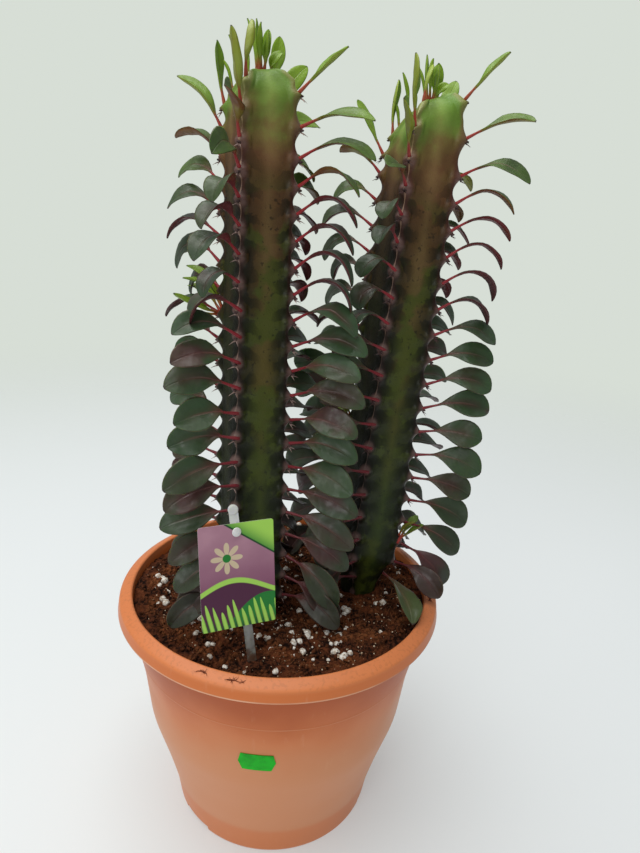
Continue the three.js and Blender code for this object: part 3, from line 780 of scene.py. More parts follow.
looseBits = {  # smallest, largest and roughness in metres, the pattern's turn in radians
    "perlite": {
        "sizes": {"Density": 11000.0, "Smallest": 0.0005, "Largest": 0.0031, "Roughness": 0.0022, "Seed": 4},
        "pattern": {"skew": 1.8, "turn": (3.1, 3.1, 3.1), "lumps": 520.0, "clusters": 34.0},
        "shape": lumpShape(2),
    },
    "soil_grit": {
        "sizes": {"Density": 60000.0, "Smallest": 0.0002, "Largest": 0.0009, "Roughness": 0.0006, "Seed": 7},
        "pattern": {"skew": 2.2, "turn": (3.1, 3.1, 3.1), "lumps": 900.0, "clusters": 80.0},
        "shape": lumpShape(1),
    },
    "soil_crumbs": {
        "sizes": {"Density": 230000.0, "Smallest": 0.0004, "Largest": 0.0024, "Roughness": 0.0016, "Seed": 9},
        "pattern": {"skew": 2.8, "turn": (3.1, 3.1, 3.1), "lumps": 700.0, "clusters": 60.0},
        "shape": lumpShape(1),
    },
    "soil_fibres": {
        "sizes": {"Density": 70000.0, "Smallest": 0.0025, "Largest": 0.011, "Roughness": 0.0016, "Seed": 2},
        "pattern": {"skew": 2.0, "turn": (1.8, 1.8, 3.1), "lumps": 250.0, "clusters": 40.0},
        "shape": fibreShape,
    },
}


def strew(name, material):
    bits = looseBits[name]
    skin = makeSoilSkin(name, material)
    runTree(skin, strewTree(name, bits["shape"], bits["pattern"]), {**bits["sizes"], "Material": material})
    print(name, len(skin.data.polygons), "faces")
    return finishPiece(skin, "soil")


def perliteMaterial(name, clean, stained):
    return mottledMaterial(name, 0.75, 0.3, (600, 0.42, 0.62, 5), (clean, stained), (0.5, 0.0006))


def strewSoil():
    strew("perlite", perliteMaterial("perlite", (236, 232, 222), (178, 160, 140)))
    strew("soil_grit", perliteMaterial("grit", (214, 196, 168), (138, 96, 64)))
    strew("soil_crumbs", soilMaterial("looseSoil", (32, 15, 8), (92, 52, 30), (142, 84, 48)))
    strew("soil_fibres", soilMaterial("soilFibre", (56, 30, 17), (118, 70, 42), (166, 112, 72)))


rimThreads = {
    "spots": ((-109, 115.6, 6), (-99, 116.2, 7), (-8, 115, 8)),  # angle, radius, how many
    "spread": 4.5,
    "length": (5, 3),  # the usual length and how much it differs
    "radius": 0.24,
    "lift": (0.35, 1.1),  # above the rim, and how much higher the ends may stand
    "sides": 5,
    "steps": 7,
}


def makeRimThreads(material):  # bits of soil fibre that lie on the rim
    verts, faces = [], []
    sides, steps = rimThreads["sides"], rimThreads["steps"]
    inside, outside = pot["rimInnerRadius"] + 1.4, pot["rimRadius"] - 1.6
    for patch, (angle, radius, count) in enumerate(rimThreads["spots"]):
        turn = math.radians(angle)
        for i in range(count):
            draws = [scatter(60 + patch, 7 * i + k) for k in range(5)]
            aside = rimThreads["spread"] * draws[0]
            middleX = radius * math.cos(turn) + aside * -math.sin(turn)
            middleY = radius * math.sin(turn) + aside * math.cos(turn)
            heading = turn + math.pi / 2 + 0.9 * draws[1]
            length = rimThreads["length"][0] + rimThreads["length"][1] * draws[2]
            rings = []
            for k in range(steps):
                share = k / (steps - 1) - 0.5
                bend = heading + 1.6 * draws[3] * share
                x, y = middleX + length * share * math.cos(bend), middleY + length * share * math.sin(bend)
                reach = math.hypot(x, y)
                kept = min(max(reach, inside), outside)
                x, y = x * kept / reach, y * kept / reach
                top = lerp(innerRim, pot["rimHeight"] + 0.5, (kept - inside) / (outside - inside))
                top += rimThreads["lift"][0] + rimThreads["lift"][1] * max(draws[4], 0) * abs(share) * 2
                thin = rimThreads["radius"] * (1 - 1.3 * abs(share))
                for sideways, up in circle(thin, sides):
                    spot = (x - math.sin(bend) * sideways, y + math.cos(bend) * sideways, top + up)
                    rings.append(tuple(value * mm for value in spot))
            faces += tubeFaces(steps, sides, start=len(verts))
            verts += rings
    return finishPiece(makeObject("rim_threads", verts, faces, material), "soil")


makeSoil()
strewSoil()
makeRimThreads(soilMaterial("rimThread", (96, 44, 30), (124, 62, 42), (150, 84, 58)))
print("soil made")


# Stem bodies

stemShape = {
    "reach": 540,  # height at which a stem's axis passes through its top spot
    "root": 30,  # how deep it stands in the soil
    "notch": 5.2,  # how far the rib's edge falls back between two crests
    "ringStep": 1.35,
    "crownReach": 20,  # height over which the stem is drawn in at the apex
    "crownDraw": 0.42,
    "cap": ((0.9, 0.9), (0.74, 1.9), (0.48, 2.8), (0.16, 3.3)),  # rings of the growing tip: width, height
    "knob": (0.42, 2.1),  # thickness of a rib between two crests and at a crest
    "ripple": 1.5,  # how far the crests' swelling reaches over the faces
    "section": (  # half a rib, radial and sideways, as shares of the crest radius
        (1.0, 0.0),
        (0.985, 0.03),
        (0.955, 0.052),
        (0.915, 0.07),
        (0.86, 0.094),
        (0.79, 0.124),
        (0.725, 0.16),
    ),
    "faceTurns": (17, 21, 27, 35, 45, 55, 63, 69, 73),
    "faceRadius": 0.6275,
}
ribs = {  # A front left, B front right, C back right, D back left
    "turn": {"A": -135, "B": -45, "C": 45, "D": 135},
    "facing": {"A": -1, "B": 1, "C": 0.4, "D": -1},
    "stalkLift": {"A": 15, "B": -20, "C": 3, "D": 12},  # how much steeper the leaves rise near the apex
    "tipLift": {"A": 48, "B": -16, "C": 10, "D": 38},
    # depths below the apex over which the leaves take their turn
    "turnReach": {"A": (0.08, 0.5), "B": (0.08, 0.5), "C": (0, 0.14), "D": (0.08, 0.5)},
    "youngRoll": {"A": 58, "B": 28, "C": 80, "D": 6},  # roll of the leaves near the apex
    "upperRoll": {"A": 8, "B": -6, "C": 50, "D": 38},  # and along the upper third of the stem
    "youngFold": {"A": 1, "B": 0.6, "C": 1.3, "D": 1},  # how deep the blades are folded along the upper third
    "restless": {"A": 20, "B": 4, "C": 16, "D": 20},  # further uneven roll, which the fine blades can take
    "unrest": {"A": 1.5, "B": 0.8, "C": 1.3, "D": 1.5},  # how unevenly the leaves of a rib have grown
}


def axisAt(stem, z):
    along = max((z - soil["level"]) / (stemShape["reach"] - soil["level"]), 0)
    return lerp(stem["base"][0], stem["top"][0], along), lerp(stem["base"][1], stem["top"][1], along)


def ribAngle(stem, rib):
    return math.radians(stem["turn"] + ribs["turn"][rib])


def fullness(stem, z):  # narrow at the soil, full along the stem, drawn in at the apex
    foot = smooth(z, soil["level"], soil["level"] + stem["flare"])
    upper = min(max(1 - (stem["apex"] - z) / stemShape["crownReach"], 0), 1)
    return foot, 1 - stemShape["crownDraw"] * upper**2.4


def apexDroop(stem, z):  # how far the top slopes down towards rib D
    return stem["apexTilt"] * smooth(z, stem["apex"] - 45, stem["apex"])


def crestPhase(stem, rib, z):  # a whole number at each crest of the rib
    return (stem["firstCrest"] - z) / stem["crestPitch"] + (0.5 if rib in "AC" else 0)


def crestSwell(phase):  # 1 at a crest, 0 between two crests
    return (0.5 + 0.5 * math.cos(2 * math.pi * phase)) ** 0.8


def stemRing(stem, z):
    foot, crown = fullness(stem, z)
    x, y = axisAt(stem, z)
    crest = stem["side"] / math.sqrt(2)
    droop = apexDroop(stem, z)
    low = ribAngle(stem, "D")
    young = smooth(z, stem["apex"] - 24, stem["apex"] - 8)  # closer teeth at the growing tip
    horn = 0.5 * smooth(z, stem["apex"] - 7, stem["apex"])
    depth = min(max((stem["apex"] - z) / (stem["apex"] - soil["level"]), 0), 1)
    ribRoot = stemShape["section"][-1][0]
    points, skin, rhythm = [], [], []
    for rib in "ABCD":
        angle = ribAngle(stem, rib)
        phase = crestPhase(stem, rib, z)
        swell = crestSwell(phase)
        valley = abs(math.sin(math.pi * (phase % 1) ** 0.88)) ** 0.8  # a sharp crest and a round valley
        notch = stemShape["notch"] * valley * (1 - 0.85 * smooth(z, stem["apex"] - 13, stem["apex"] - 4))
        notch += 1.4 * young * abs(math.sin(2 * math.pi * phase))
        half = []
        for radial, sideways in stemShape["section"]:
            fade = max((radial - ribRoot) / (1 - ribRoot), 0) ** 1.3
            thick = lerp(1, lerp(*stemShape["knob"], swell), fade**0.4)
            half.append((radial * crest - notch * fade, sideways * crest * thick, fade))
        spokes = [(math.hypot(r, t), -math.atan2(t, r), fade) for r, t, fade in reversed(half[1:])]
        spokes += [(math.hypot(r, t), math.atan2(t, r), fade) for r, t, fade in half]
        for turn in stemShape["faceTurns"]:
            radius = stemShape["faceRadius"] * crest / math.cos(math.radians(turn - 45))
            near = abs(turn - 45) / 28
            side = crestSwell(phase if turn < 45 else phase + 0.5) - 0.5
            spokes.append((radius + stemShape["ripple"] * side * near**1.5, math.radians(turn), 0))
        for radius, turn, fade in spokes:
            direction = angle + turn
            degrees = math.degrees(turn)
            across = abs(degrees % 90 - 45) / 45
            rough = noise.noise(Vector((direction * 6, z / 9, stem["seed"]))) * 0.45
            full = lerp(stem["neckRadius"], (radius + rough) * crown, foot)
            drop = droop * (full / crest) * math.cos(direction - low)
            rise = horn * fade - drop
            points.append((x + full * math.cos(direction), y + full * math.sin(direction), z + rise))
            skin.append((fade, swell * fade, depth, across))
            nearest = phase if degrees < 45 else phase + 0.5
            # painted shade: the face from rib D round to rib A and rib A's left flank are marked to be
            # darkened
            shade = 1 if rib == "D" and 14 < degrees or rib == "A" and degrees < 0 else 0
            rhythm.append((crestSwell(nearest - 0.55 * (1 - across)), shade, 0, 1))
    return points, skin, rhythm


def stemMaterial():
    material, tree, shader = newMaterial("succulentSkin", 0.5, 0.26, subsurface=0.05)
    edge, tooth, depth, across = layerParts(tree, "skin")
    swell, shaded = layerParts(tree, "rhythm")[:2]
    drift = blotches(tree, 34, 0.3, 0.7, 7)
    shifted = sway(tree, depth, drift.outputs["Height"], 0.2)
    centre = mapRange(tree, plus(tree, across, times(tree, drift.outputs["Mask"], 0.3)), 0.72, 0.08)
    patches = blotches(tree, 46, 0.46, 0.56, 7).outputs["Mask"]  # olive green grows through the reddish brown
    greening = times(tree, patches, mapRange(tree, depth, 0.1, 0.28, 0.0, 0.8))
    beside = times(tree, mapRange(tree, across, 0.4, 0.9), mapRange(tree, depth, 0.08, 0.3, 0.0, 0.5))
    mottle = blotches(tree, 105, 0.3, 0.7, 7)
    gap = sway(tree, swell, mottle.outputs["Height"], 3.6)
    inward = mapRange(tree, across, 0.1, 0.85)
    marks = mapRange(tree, minus(tree, gap, times(tree, inward, 0.4)), 0.36, 0.08)
    lower = mapRange(tree, depth, 0.06, 0.22, 0.0, 0.75)
    marks = times(tree, marks, timesPlus(tree, inward, 0.9, 0.1), lower)
    flecks = blotches(tree, 320, 0.6, 0.7, 3).outputs["Mask"]
    flecks = times(tree, flecks, mapRange(tree, depth, 0.1, 0.2, 0, 0.6))
    flank = mapRange(tree, edge, 0.12, 0.7)
    # painted shade on the marked face, deeper further down the stem
    paintedShade = times(tree, shaded, mapRange(tree, depth, 0.05, 0.25, 0.15, 0.72))
    scar = times(tree, mapRange(tree, tooth, 0.35, 0.95), mapRange(tree, depth, 0.04, 0.14), 0.75)
    worn = blotches(tree, 130, 0.4, 0.6, 4).outputs["Mask"]
    rim = times(tree, mapRange(tree, edge, 0.955, 1.0), timesPlus(tree, worn, 0.6, 0.25))
    coats = (
        (times(tree, centre, 0.7), ramp(tree, shifted, stemColours["band"])),
        (greening, stemColours["olive"]),
        (beside, stemColours["mark"]),
        (maths(tree, "MAXIMUM", marks, flecks), stemColours["mark"]),
        (times(tree, flank, 0.8), ramp(tree, depth, stemColours["rib"])),
        (paintedShade, stemColours["mark"]),
        (scar, stemColours["scar"]),
        (rim, ramp(tree, depth, stemColours["crest"])),
    )
    base = ramp(tree, shifted, stemColours["face"])
    tree.links.new(layered(tree, base, coats), shader.inputs["Base Color"])
    grain = blotches(tree, 900, 0.3, 0.7, 4)
    roughFrom(tree, shader, shaded, 0.25, timesPlus(tree, grain.outputs["Mask"], 0.16, 0.36))
    bumpFrom(tree, shader, grain.outputs["Height"], 0.3, 0.0006)
    return material


stemColours = {
    "face": (
        (0.0, (106, 146, 50)),
        (0.04, (108, 134, 52)),
        (0.075, (112, 96, 48)),
        (0.12, (104, 70, 42)),
        (0.2, (90, 62, 34)),
        (0.28, (78, 58, 28)),
        (0.42, (62, 54, 22)),
        (0.6, (48, 54, 16)),
        (0.85, (34, 46, 12)),
        (1.0, (16, 20, 6)),
    ),
    "band": (
        (0.0, (152, 184, 92)),
        (0.04, (148, 168, 82)),
        (0.08, (146, 122, 72)),
        (0.14, (134, 98, 66)),
        (0.2, (120, 94, 58)),
        (0.3, (106, 90, 50)),
        (0.5, (96, 84, 34)),
        (0.8, (66, 82, 22)),
        (1.0, (30, 42, 12)),
    ),
    "rib": (
        (0.0, (146, 148, 84)),
        (0.05, (122, 102, 64)),
        (0.11, (88, 50, 40)),
        (0.3, (52, 28, 22)),
        (0.6, (30, 22, 15)),
        (1.0, (18, 18, 10)),
    ),
    "crest": (
        (0.0, (196, 200, 128)),
        (0.1, (184, 150, 116)),
        (0.3, (160, 128, 112)),
        (0.7, (122, 104, 94)),
        (1.0, (70, 62, 50)),
    ),
    "olive": (70, 80, 24),
    "mark": (15, 18, 6),
    "scar": (128, 98, 92),
}


def makeStemBody(stem, material):
    rings, skins, rhythms = [], [], []
    heights = [soil["level"] - stemShape["root"], soil["level"] - 12, soil["level"] - 4]
    count = int((stem["apex"] - soil["level"]) / stemShape["ringStep"])
    heights += [lerp(soil["level"], stem["apex"], i / count) for i in range(count + 1)]
    for z in heights:
        points, skin, rhythm = stemRing(stem, z)
        rings.append(points)
        skins += skin
        rhythms += rhythm
    top = np.array(rings[-1])
    middle = top.mean(axis=0)
    for shrink, rise in stemShape["cap"]:
        ring = middle + (top - middle) * shrink
        rings.append([(x, y, z + rise) for x, y, z in ring])
        skins += [(0.1, 0, 0, 0.3)] * len(top)
        rhythms += [(1, 0, 0, 1)] * len(top)
    verts = [(x * mm, y * mm, z * mm) for ring in rings for x, y, z in ring]
    faces = tubeFaces(len(rings), len(top))
    obj = makeObject(stem["name"] + "_body", verts, faces, material)
    pointColours(obj, "skin", skins)
    pointColours(obj, "rhythm", rhythms)
    return finishPiece(obj, "plant", stem["name"])


succulentSkin = stemMaterial()
for stem in stems:
    makeStemBody(stem, succulentSkin)
print("stem bodies made")


# Leaves

leafShape = {
    "stalkShare": 0.15,
    "stalkWidth": 1.7,
    "thickness": 1.5,
    "fold": 0.12,  # rise of the margins over the midrib, as a share of the width
    "foldRange": (0.8, 2.0),  # how much single leaves differ in their fold
    "wave": (0.045, 0.075),  # of the margin, in young and in old leaves
    "crumple": 0.06,  # depth of the uneven dents, as a share of the width
    "tipBend": 38,  # the tips of old leaves bend away
    "bow": 0.05,  # how far a leaf bows sideways, as a share of its length
    "sink": 4,  # how deep a stalk starts inside the stem
    "lowest": 16,  # above the soil, of the lowest leaf's foot
    "stations": (
        *(-0.02, 0.06, 0.13, 0.19, 0.25, 0.31, 0.38, 0.45, 0.52, 0.59),
        *(0.66, 0.73, 0.8, 0.86, 0.91, 0.95, 0.975, 0.99, 1.0),
    ),
    "across": (1, 0.88, 0.45, 0, -0.45, -0.88, -1, -0.5, -0.13, 0, 0.13, 0.5),
    "around": (0, 22, 52, 90, 128, 158, 180, 220, 250, 270, 290, 320),  # the same points on a round stalk
    "side": (0.5, 0, 0, 0, 0, 0, 0.5, 1, 1, 1, 1, 1),
}
leafFades = {  # depths below the apex over which each habit of the leaves comes or goes
    "young": (0.12, 0.18),
    "fold": (0.06, 0.14),
    "scale": (0.04, 0.12),
    "lift": (0.07, 0.2),
    "fresh": (0.12, 0.24),
    "upper": (0.36, 0.46),
    "lowTurn": (0.82, 0.92),
}
leafStages = (  # depth below the apex, rise of stalk and tip, length, width, roll
    (0, 80, 84, 26, 7, 10),
    (0.045, 60, 40, 38, 11, 15),
    (0.09, 42, -8, 50, 14, 28),
    (0.16, 38, -52, 51, 15, 18),
    (0.36, 36, -78, 51, 16, 14),
    (0.45, 24, -28, 52, 19, 52),
    (0.64, 10, -20, 52, 21, 60),
    (0.8, -8, -38, 53, 20, 60),
    (0.92, -30, -74, 51, 18.5, 56),
    (1, -26, -64, 44, 18, 50),
)
apexLeaves = (  # turn, how far out, length, width, roll
    (-100, 0.35, 24, 6, 72),
    (-20, 0.45, 20, 7, 30),
    (50, 0.5, 22, 8, 10),
    (150, 0.4, 27, 5, 8),
)
budSpots = (  # sideways, back and down from the sloping tip, length, width, lean to the right, roll
    (-6, 3, 0, 27, 3.4, -10, 0),
    (-15, 7, 3, 25, 3.6, -13, 4),
    (-20, 10, 7, 17, 3.2, -14, 8),
    (-11, 8, 1, 14, 3.0, -4, 0),
    (9, 6, 2, 15, 7, 22, 60),
)
sideShoots = (
    {"stem": 0, "rib": "D", "crest": 9, "turn": 22, "count": 5, "length": 34, "width": 11, "fresh": 1},
    {"stem": 1, "rib": "D", "crest": 13, "turn": 48, "count": 3, "length": 13, "width": 7, "fresh": 0.8},
    {"stem": 1, "rib": "B", "crest": 18, "turn": 20, "count": 3, "length": 24, "width": 7, "fresh": 0.5},
)
lowLeaves = (
    {
        "stem": 1,
        "rib": "B",
        "z": 194,
        "azimuth": -74,
        "stalkRise": 10,
        "tipRise": -26,
        "length": 62,
        "width": 20,
        "roll": -22,
        "age": 0.9,
        "fresh": 0.15,
    },
)


def leafWidth(leaf, share):
    blade = min(max((share - leafShape["stalkShare"]) / (1 - leafShape["stalkShare"]), 0), 0.995)
    blunt = lerp(0.9, 0.6, smooth(blade, 0.3, 0.75))  # a wedge towards the stalk, round at the tip
    return leaf["width"] * math.sin(math.pi * blade ** leaf["taper"]) ** blunt


def midrib(leaf):
    dx, dy = math.cos(leaf["azimuth"]), math.sin(leaf["azimuth"])
    start = -leafShape["sink"] / leaf["length"]
    steps = 30
    stride = (1 - start) * leaf["length"] / steps
    point = Vector(leaf["root"]) - Vector((dx, dy, 0)) * leafShape["sink"]
    path = [(start, point, math.radians(leaf["stalkRise"]))]
    for i in range(1, steps + 1):
        share = lerp(start, 1, i / steps)
        rise = math.radians(lerp(leaf["stalkRise"], leaf["tipRise"], smooth(share, 0.1, 1)))
        point = point + Vector((dx * math.cos(rise), dy * math.cos(rise), math.sin(rise))) * stride
        path.append((share, point, rise))
    return path


def ground(point):  # the lowest height that a leaf may hang to
    reach = math.hypot(point.x, point.y)
    if reach > pot["lipRadius"] + 4:
        return 0
    return innerRim + 1.5 if reach > pot["rimInnerRadius"] - 5 else soil["level"] + 5


def settle(leaf):  # lifts a leaf step by step until it hangs clear of the soil and the rim
    hang = abs(math.sin(math.radians(leaf["roll"]))) / 2
    for tries in range(20):
        blade = [(point, leafWidth(leaf, share)) for share, point, rise in midrib(leaf) if share > 0.1]
        if all(point.z - hang * width >= ground(point) for point, width in blade):
            break
        leaf["stalkRise"] += 4
        leaf["tipRise"] += 3
    return leaf


def crestPoint(stem, rib, z):
    foot, crown = fullness(stem, z)
    x, y = axisAt(stem, z)
    crest = stem["side"] / math.sqrt(2)
    radius = lerp(stem["neckRadius"], crest * crown, foot)
    angle = ribAngle(stem, rib)
    droop = apexDroop(stem, z)
    drop = droop * radius * math.cos(angle - ribAngle(stem, "D")) / crest
    return Vector((x + radius * math.cos(angle), y + radius * math.sin(angle), z - drop))


def crestHeights(stem, rib):
    heights, step = [], 1
    while stem["firstCrest"] - step * stem["crestPitch"] / 2 > soil["level"] + leafShape["lowest"]:
        if (rib in "BD") == (step % 2 == 0):
            heights.append(min(stem["firstCrest"] - step * stem["crestPitch"] / 2, stem["apex"] - 1))
        step += 1
    return heights


def stageAt(depth):
    places = [stage[0] for stage in leafStages]
    return [float(np.interp(depth, places, [stage[k] for stage in leafStages])) for k in range(1, 6)]


def ribLeaves(stem, rib):
    leaves = []
    for i, z in enumerate(crestHeights(stem, rib)):
        depth = (stem["apex"] - z) / (stem["apex"] - soil["level"])
        stalkRise, tipRise, length, width, roll = stageAt(depth)
        scale = lerp(1, lerp(*stem["leafScale"][rib], depth), smooth(depth, *leafFades["scale"]))
        seed = stem["seed"] + "ABCD".index(rib) * 3
        turn = stem["leafTurn"][rib] * smooth(depth, *ribs["turnReach"][rib])
        turn += stem["lowTurn"][rib] * smooth(depth, *leafFades["lowTurn"])
        lift = 1 - smooth(depth, *leafFades["lift"])
        upper = 1 - smooth(depth, *leafFades["upper"])
        youngRoll = lerp(ribs["youngRoll"][rib], ribs["upperRoll"][rib], smooth(depth, *leafFades["young"]))
        uneven = ribs["unrest"][rib]
        roll = ribs["facing"][rib] * lerp(roll, youngRoll, upper)
        roll = roll + 7 * uneven * scatter(seed + 3, i) + ribs["restless"][rib] * scatter(seed + 9, i)
        leaf = {
            "root": crestPoint(stem, rib, z),
            "azimuth": ribAngle(stem, rib) + math.radians(turn + 8 * uneven * scatter(seed, i)),
            "stalkRise": stalkRise + ribs["stalkLift"][rib] * lift + 4 * uneven * scatter(seed + 1, i),
            "tipRise": tipRise + ribs["tipLift"][rib] * lift + 8 * uneven * scatter(seed + 2, i),
            "length": length * scale * (1 + 0.08 * uneven * scatter(seed, i + 50)),
            "width": width * (1 + 0.08 * uneven * scatter(seed + 1, i + 50)),
            "roll": roll,
            "taper": stem["bladeTaper"],
            "age": depth,
            "fresh": 0.6 * (1 - smooth(depth, *leafFades["fresh"])) if rib == "C" else 0,
            "draw": scatter(seed + 5, i),
            "fold": lerp(1, ribs["youngFold"][rib], upper * smooth(depth, *leafFades["fold"])),
        }
        leaves.append(settle(leaf))
    return leaves


def crownLeaves(stem):
    leaves = []
    x, y = axisAt(stem, stem["apex"])
    reach = stem["side"] / math.sqrt(2) * 0.4
    for i, (turn, share, length, width, roll) in enumerate(apexLeaves):
        azimuth = math.radians(turn + 12 * scatter(stem["seed"], i + 90))
        out = reach * share
        leaf = {
            "root": Vector((x + out * math.cos(azimuth), y + out * math.sin(azimuth), stem["apex"])),
            "azimuth": azimuth,
            "stalkRise": 80,
            "tipRise": 88,
            "length": length,
            "width": width,
            "roll": roll,
            "taper": stem["bladeTaper"],
            "age": 0,
            "fresh": 1,
            "draw": scatter(stem["seed"] + 6, i),
        }
        leaves.append(leaf)
    return leaves


def budLeaves(stem):  # the youngest leaves, too small to stand alone in the solids
    x, y = axisAt(stem, stem["apex"])
    low = ribAngle(stem, "D")
    slope = stem["apexTilt"] / (stem["side"] / math.sqrt(2))
    leaves = []
    for i, (sideways, back, down, length, width, lean, roll) in enumerate(budSpots):
        aside = math.radians(stem["turn"] - 16)
        place = Matrix.Rotation(aside, 3, "Z") @ Vector((sideways, back, 0))
        down += slope * (place.x * math.cos(low) + place.y * math.sin(low))
        uneven = scatter(stem["seed"] + 20, i)
        leaf = {
            "root": Vector((x + place.x, y + place.y, stem["apex"] - down)),
            "azimuth": aside + (0 if lean > 0 else math.pi) + 0.2 * uneven,
            "stalkRise": 92 - 0.6 * abs(lean),
            "tipRise": 88 - 2.2 * abs(lean) + 6 * uneven,
            "length": length * (1 + 0.12 * uneven),
            "width": width,
            "roll": roll + 12 * uneven,
            "taper": stem["bladeTaper"],
            "age": 0,
            "fresh": 1,
            "draw": scatter(stem["seed"] + 21, i),
        }
        leaves.append(leaf)
    return leaves


def shootLeaves(stem, shoot):
    root = crestPoint(stem, shoot["rib"], stem["firstCrest"] - shoot["crest"] * stem["crestPitch"])
    outward = ribAngle(stem, shoot["rib"])
    root -= Vector((math.cos(outward), math.sin(outward), 0)) * 2
    middle = outward + math.radians(shoot["turn"])
    leaves = []
    for i in range(shoot["count"]):
        fan = i / (shoot["count"] - 1) - 0.5
        leaf = {
            "root": root.copy(),
            "azimuth": middle + math.radians(90 * fan),
            "stalkRise": 30 + 40 * scatter(stem["seed"] + 7, i),
            "tipRise": 5 + 30 * scatter(stem["seed"] + 8, i),
            "length": shoot["length"] * (1 + 0.2 * scatter(stem["seed"] + 9, i)),
            "width": shoot["width"],
            "roll": 30 * fan,
            "taper": stem["bladeTaper"],
            "age": lerp(0.3, 0.08, shoot["fresh"]),
            "fresh": shoot["fresh"],
            "draw": scatter(stem["seed"] + 10, i),
        }
        leaves.append(settle(leaf))
    return leaves


def leafRings(leaf):  # points, (across, along) and (age, draw, side, fresh) of one leaf
    out = Vector((math.cos(leaf["azimuth"]), math.sin(leaf["azimuth"]), 0))
    across = Vector((-out.y, out.x, 0))
    path = midrib(leaf)
    shares = [share for share, point, rise in path]
    places = [[point[k] for share, point, rise in path] for k in range(3)]
    rises = [rise for share, point, rise in path]
    draw = leaf["draw"]
    old = smooth(leaf["age"], 0.35, 0.6)
    fold = leafShape["fold"] * leaf.get("fold", 1)
    fold *= lerp(*leafShape["foldRange"], (math.sin(9 * draw) + 1) / 2)
    points, coords, tones = [], [], []
    for station in (shares[0], *leafShape["stations"]):
        spot = Vector([np.interp(station, shares, places[k]) for k in range(3)])
        rise = float(np.interp(station, shares, rises))
        along = out * math.cos(rise) + Vector((0, 0, math.sin(rise)))
        turn = math.radians(leaf["roll"]) * smooth(station, 0.05, 0.5)
        side = Matrix.Rotation(turn, 3, along) @ across
        normal = along.cross(side)
        blade = smooth(station, 0.12, 0.26)
        width = max(leafWidth(leaf, station), lerp(leafShape["stalkWidth"], 0.5, smooth(station, 0.9, 1)))
        thick = leafShape["thickness"] * lerp(1, 0.35, smooth(station, 0.75, 1))
        stalk = lerp(1.45, 1.0, smooth(station, -0.02, 0.16))
        bend = old * leafShape["tipBend"] * max(station - 0.8, 0) ** 2 * (1 + 0.5 * draw)
        bow = leafShape["bow"] * leaf["length"] * draw * max(station - 0.2, 0) ** 2
        for s, turned, face in zip(leafShape["across"], leafShape["around"], leafShape["side"]):
            body = 0.5 * thick * (1 - 0.72 * s * s) if face != 0.5 else 0
            lift = width * fold * abs(s) ** 1.25
            wave = lerp(*leafShape["wave"], old) * width * s * math.sin(8 * station + 5 * draw)
            wave += leafShape["crumple"] * width * noise.noise(Vector((station * 5, s * 1.3, 9 * draw)))
            flat = lift + wave + (body if face < 0.5 else -body)
            if s == 0:
                flat += -0.2 if face < 0.5 else -0.3
            roundSide = math.cos(math.radians(turned)) * stalk * leafShape["stalkWidth"] / 2
            roundUp = math.sin(math.radians(turned)) * stalk * 0.78
            sideways = lerp(roundSide, s * width / 2, blade) + bow
            up = lerp(roundUp, flat, blade) - bend
            points.append(spot + side * sideways + normal * up)
            coords.append(((s + 1) / 2, station))
            tones.append((leaf["age"], (draw + 1) / 2, face, leaf["fresh"]))
    return points, coords, tones


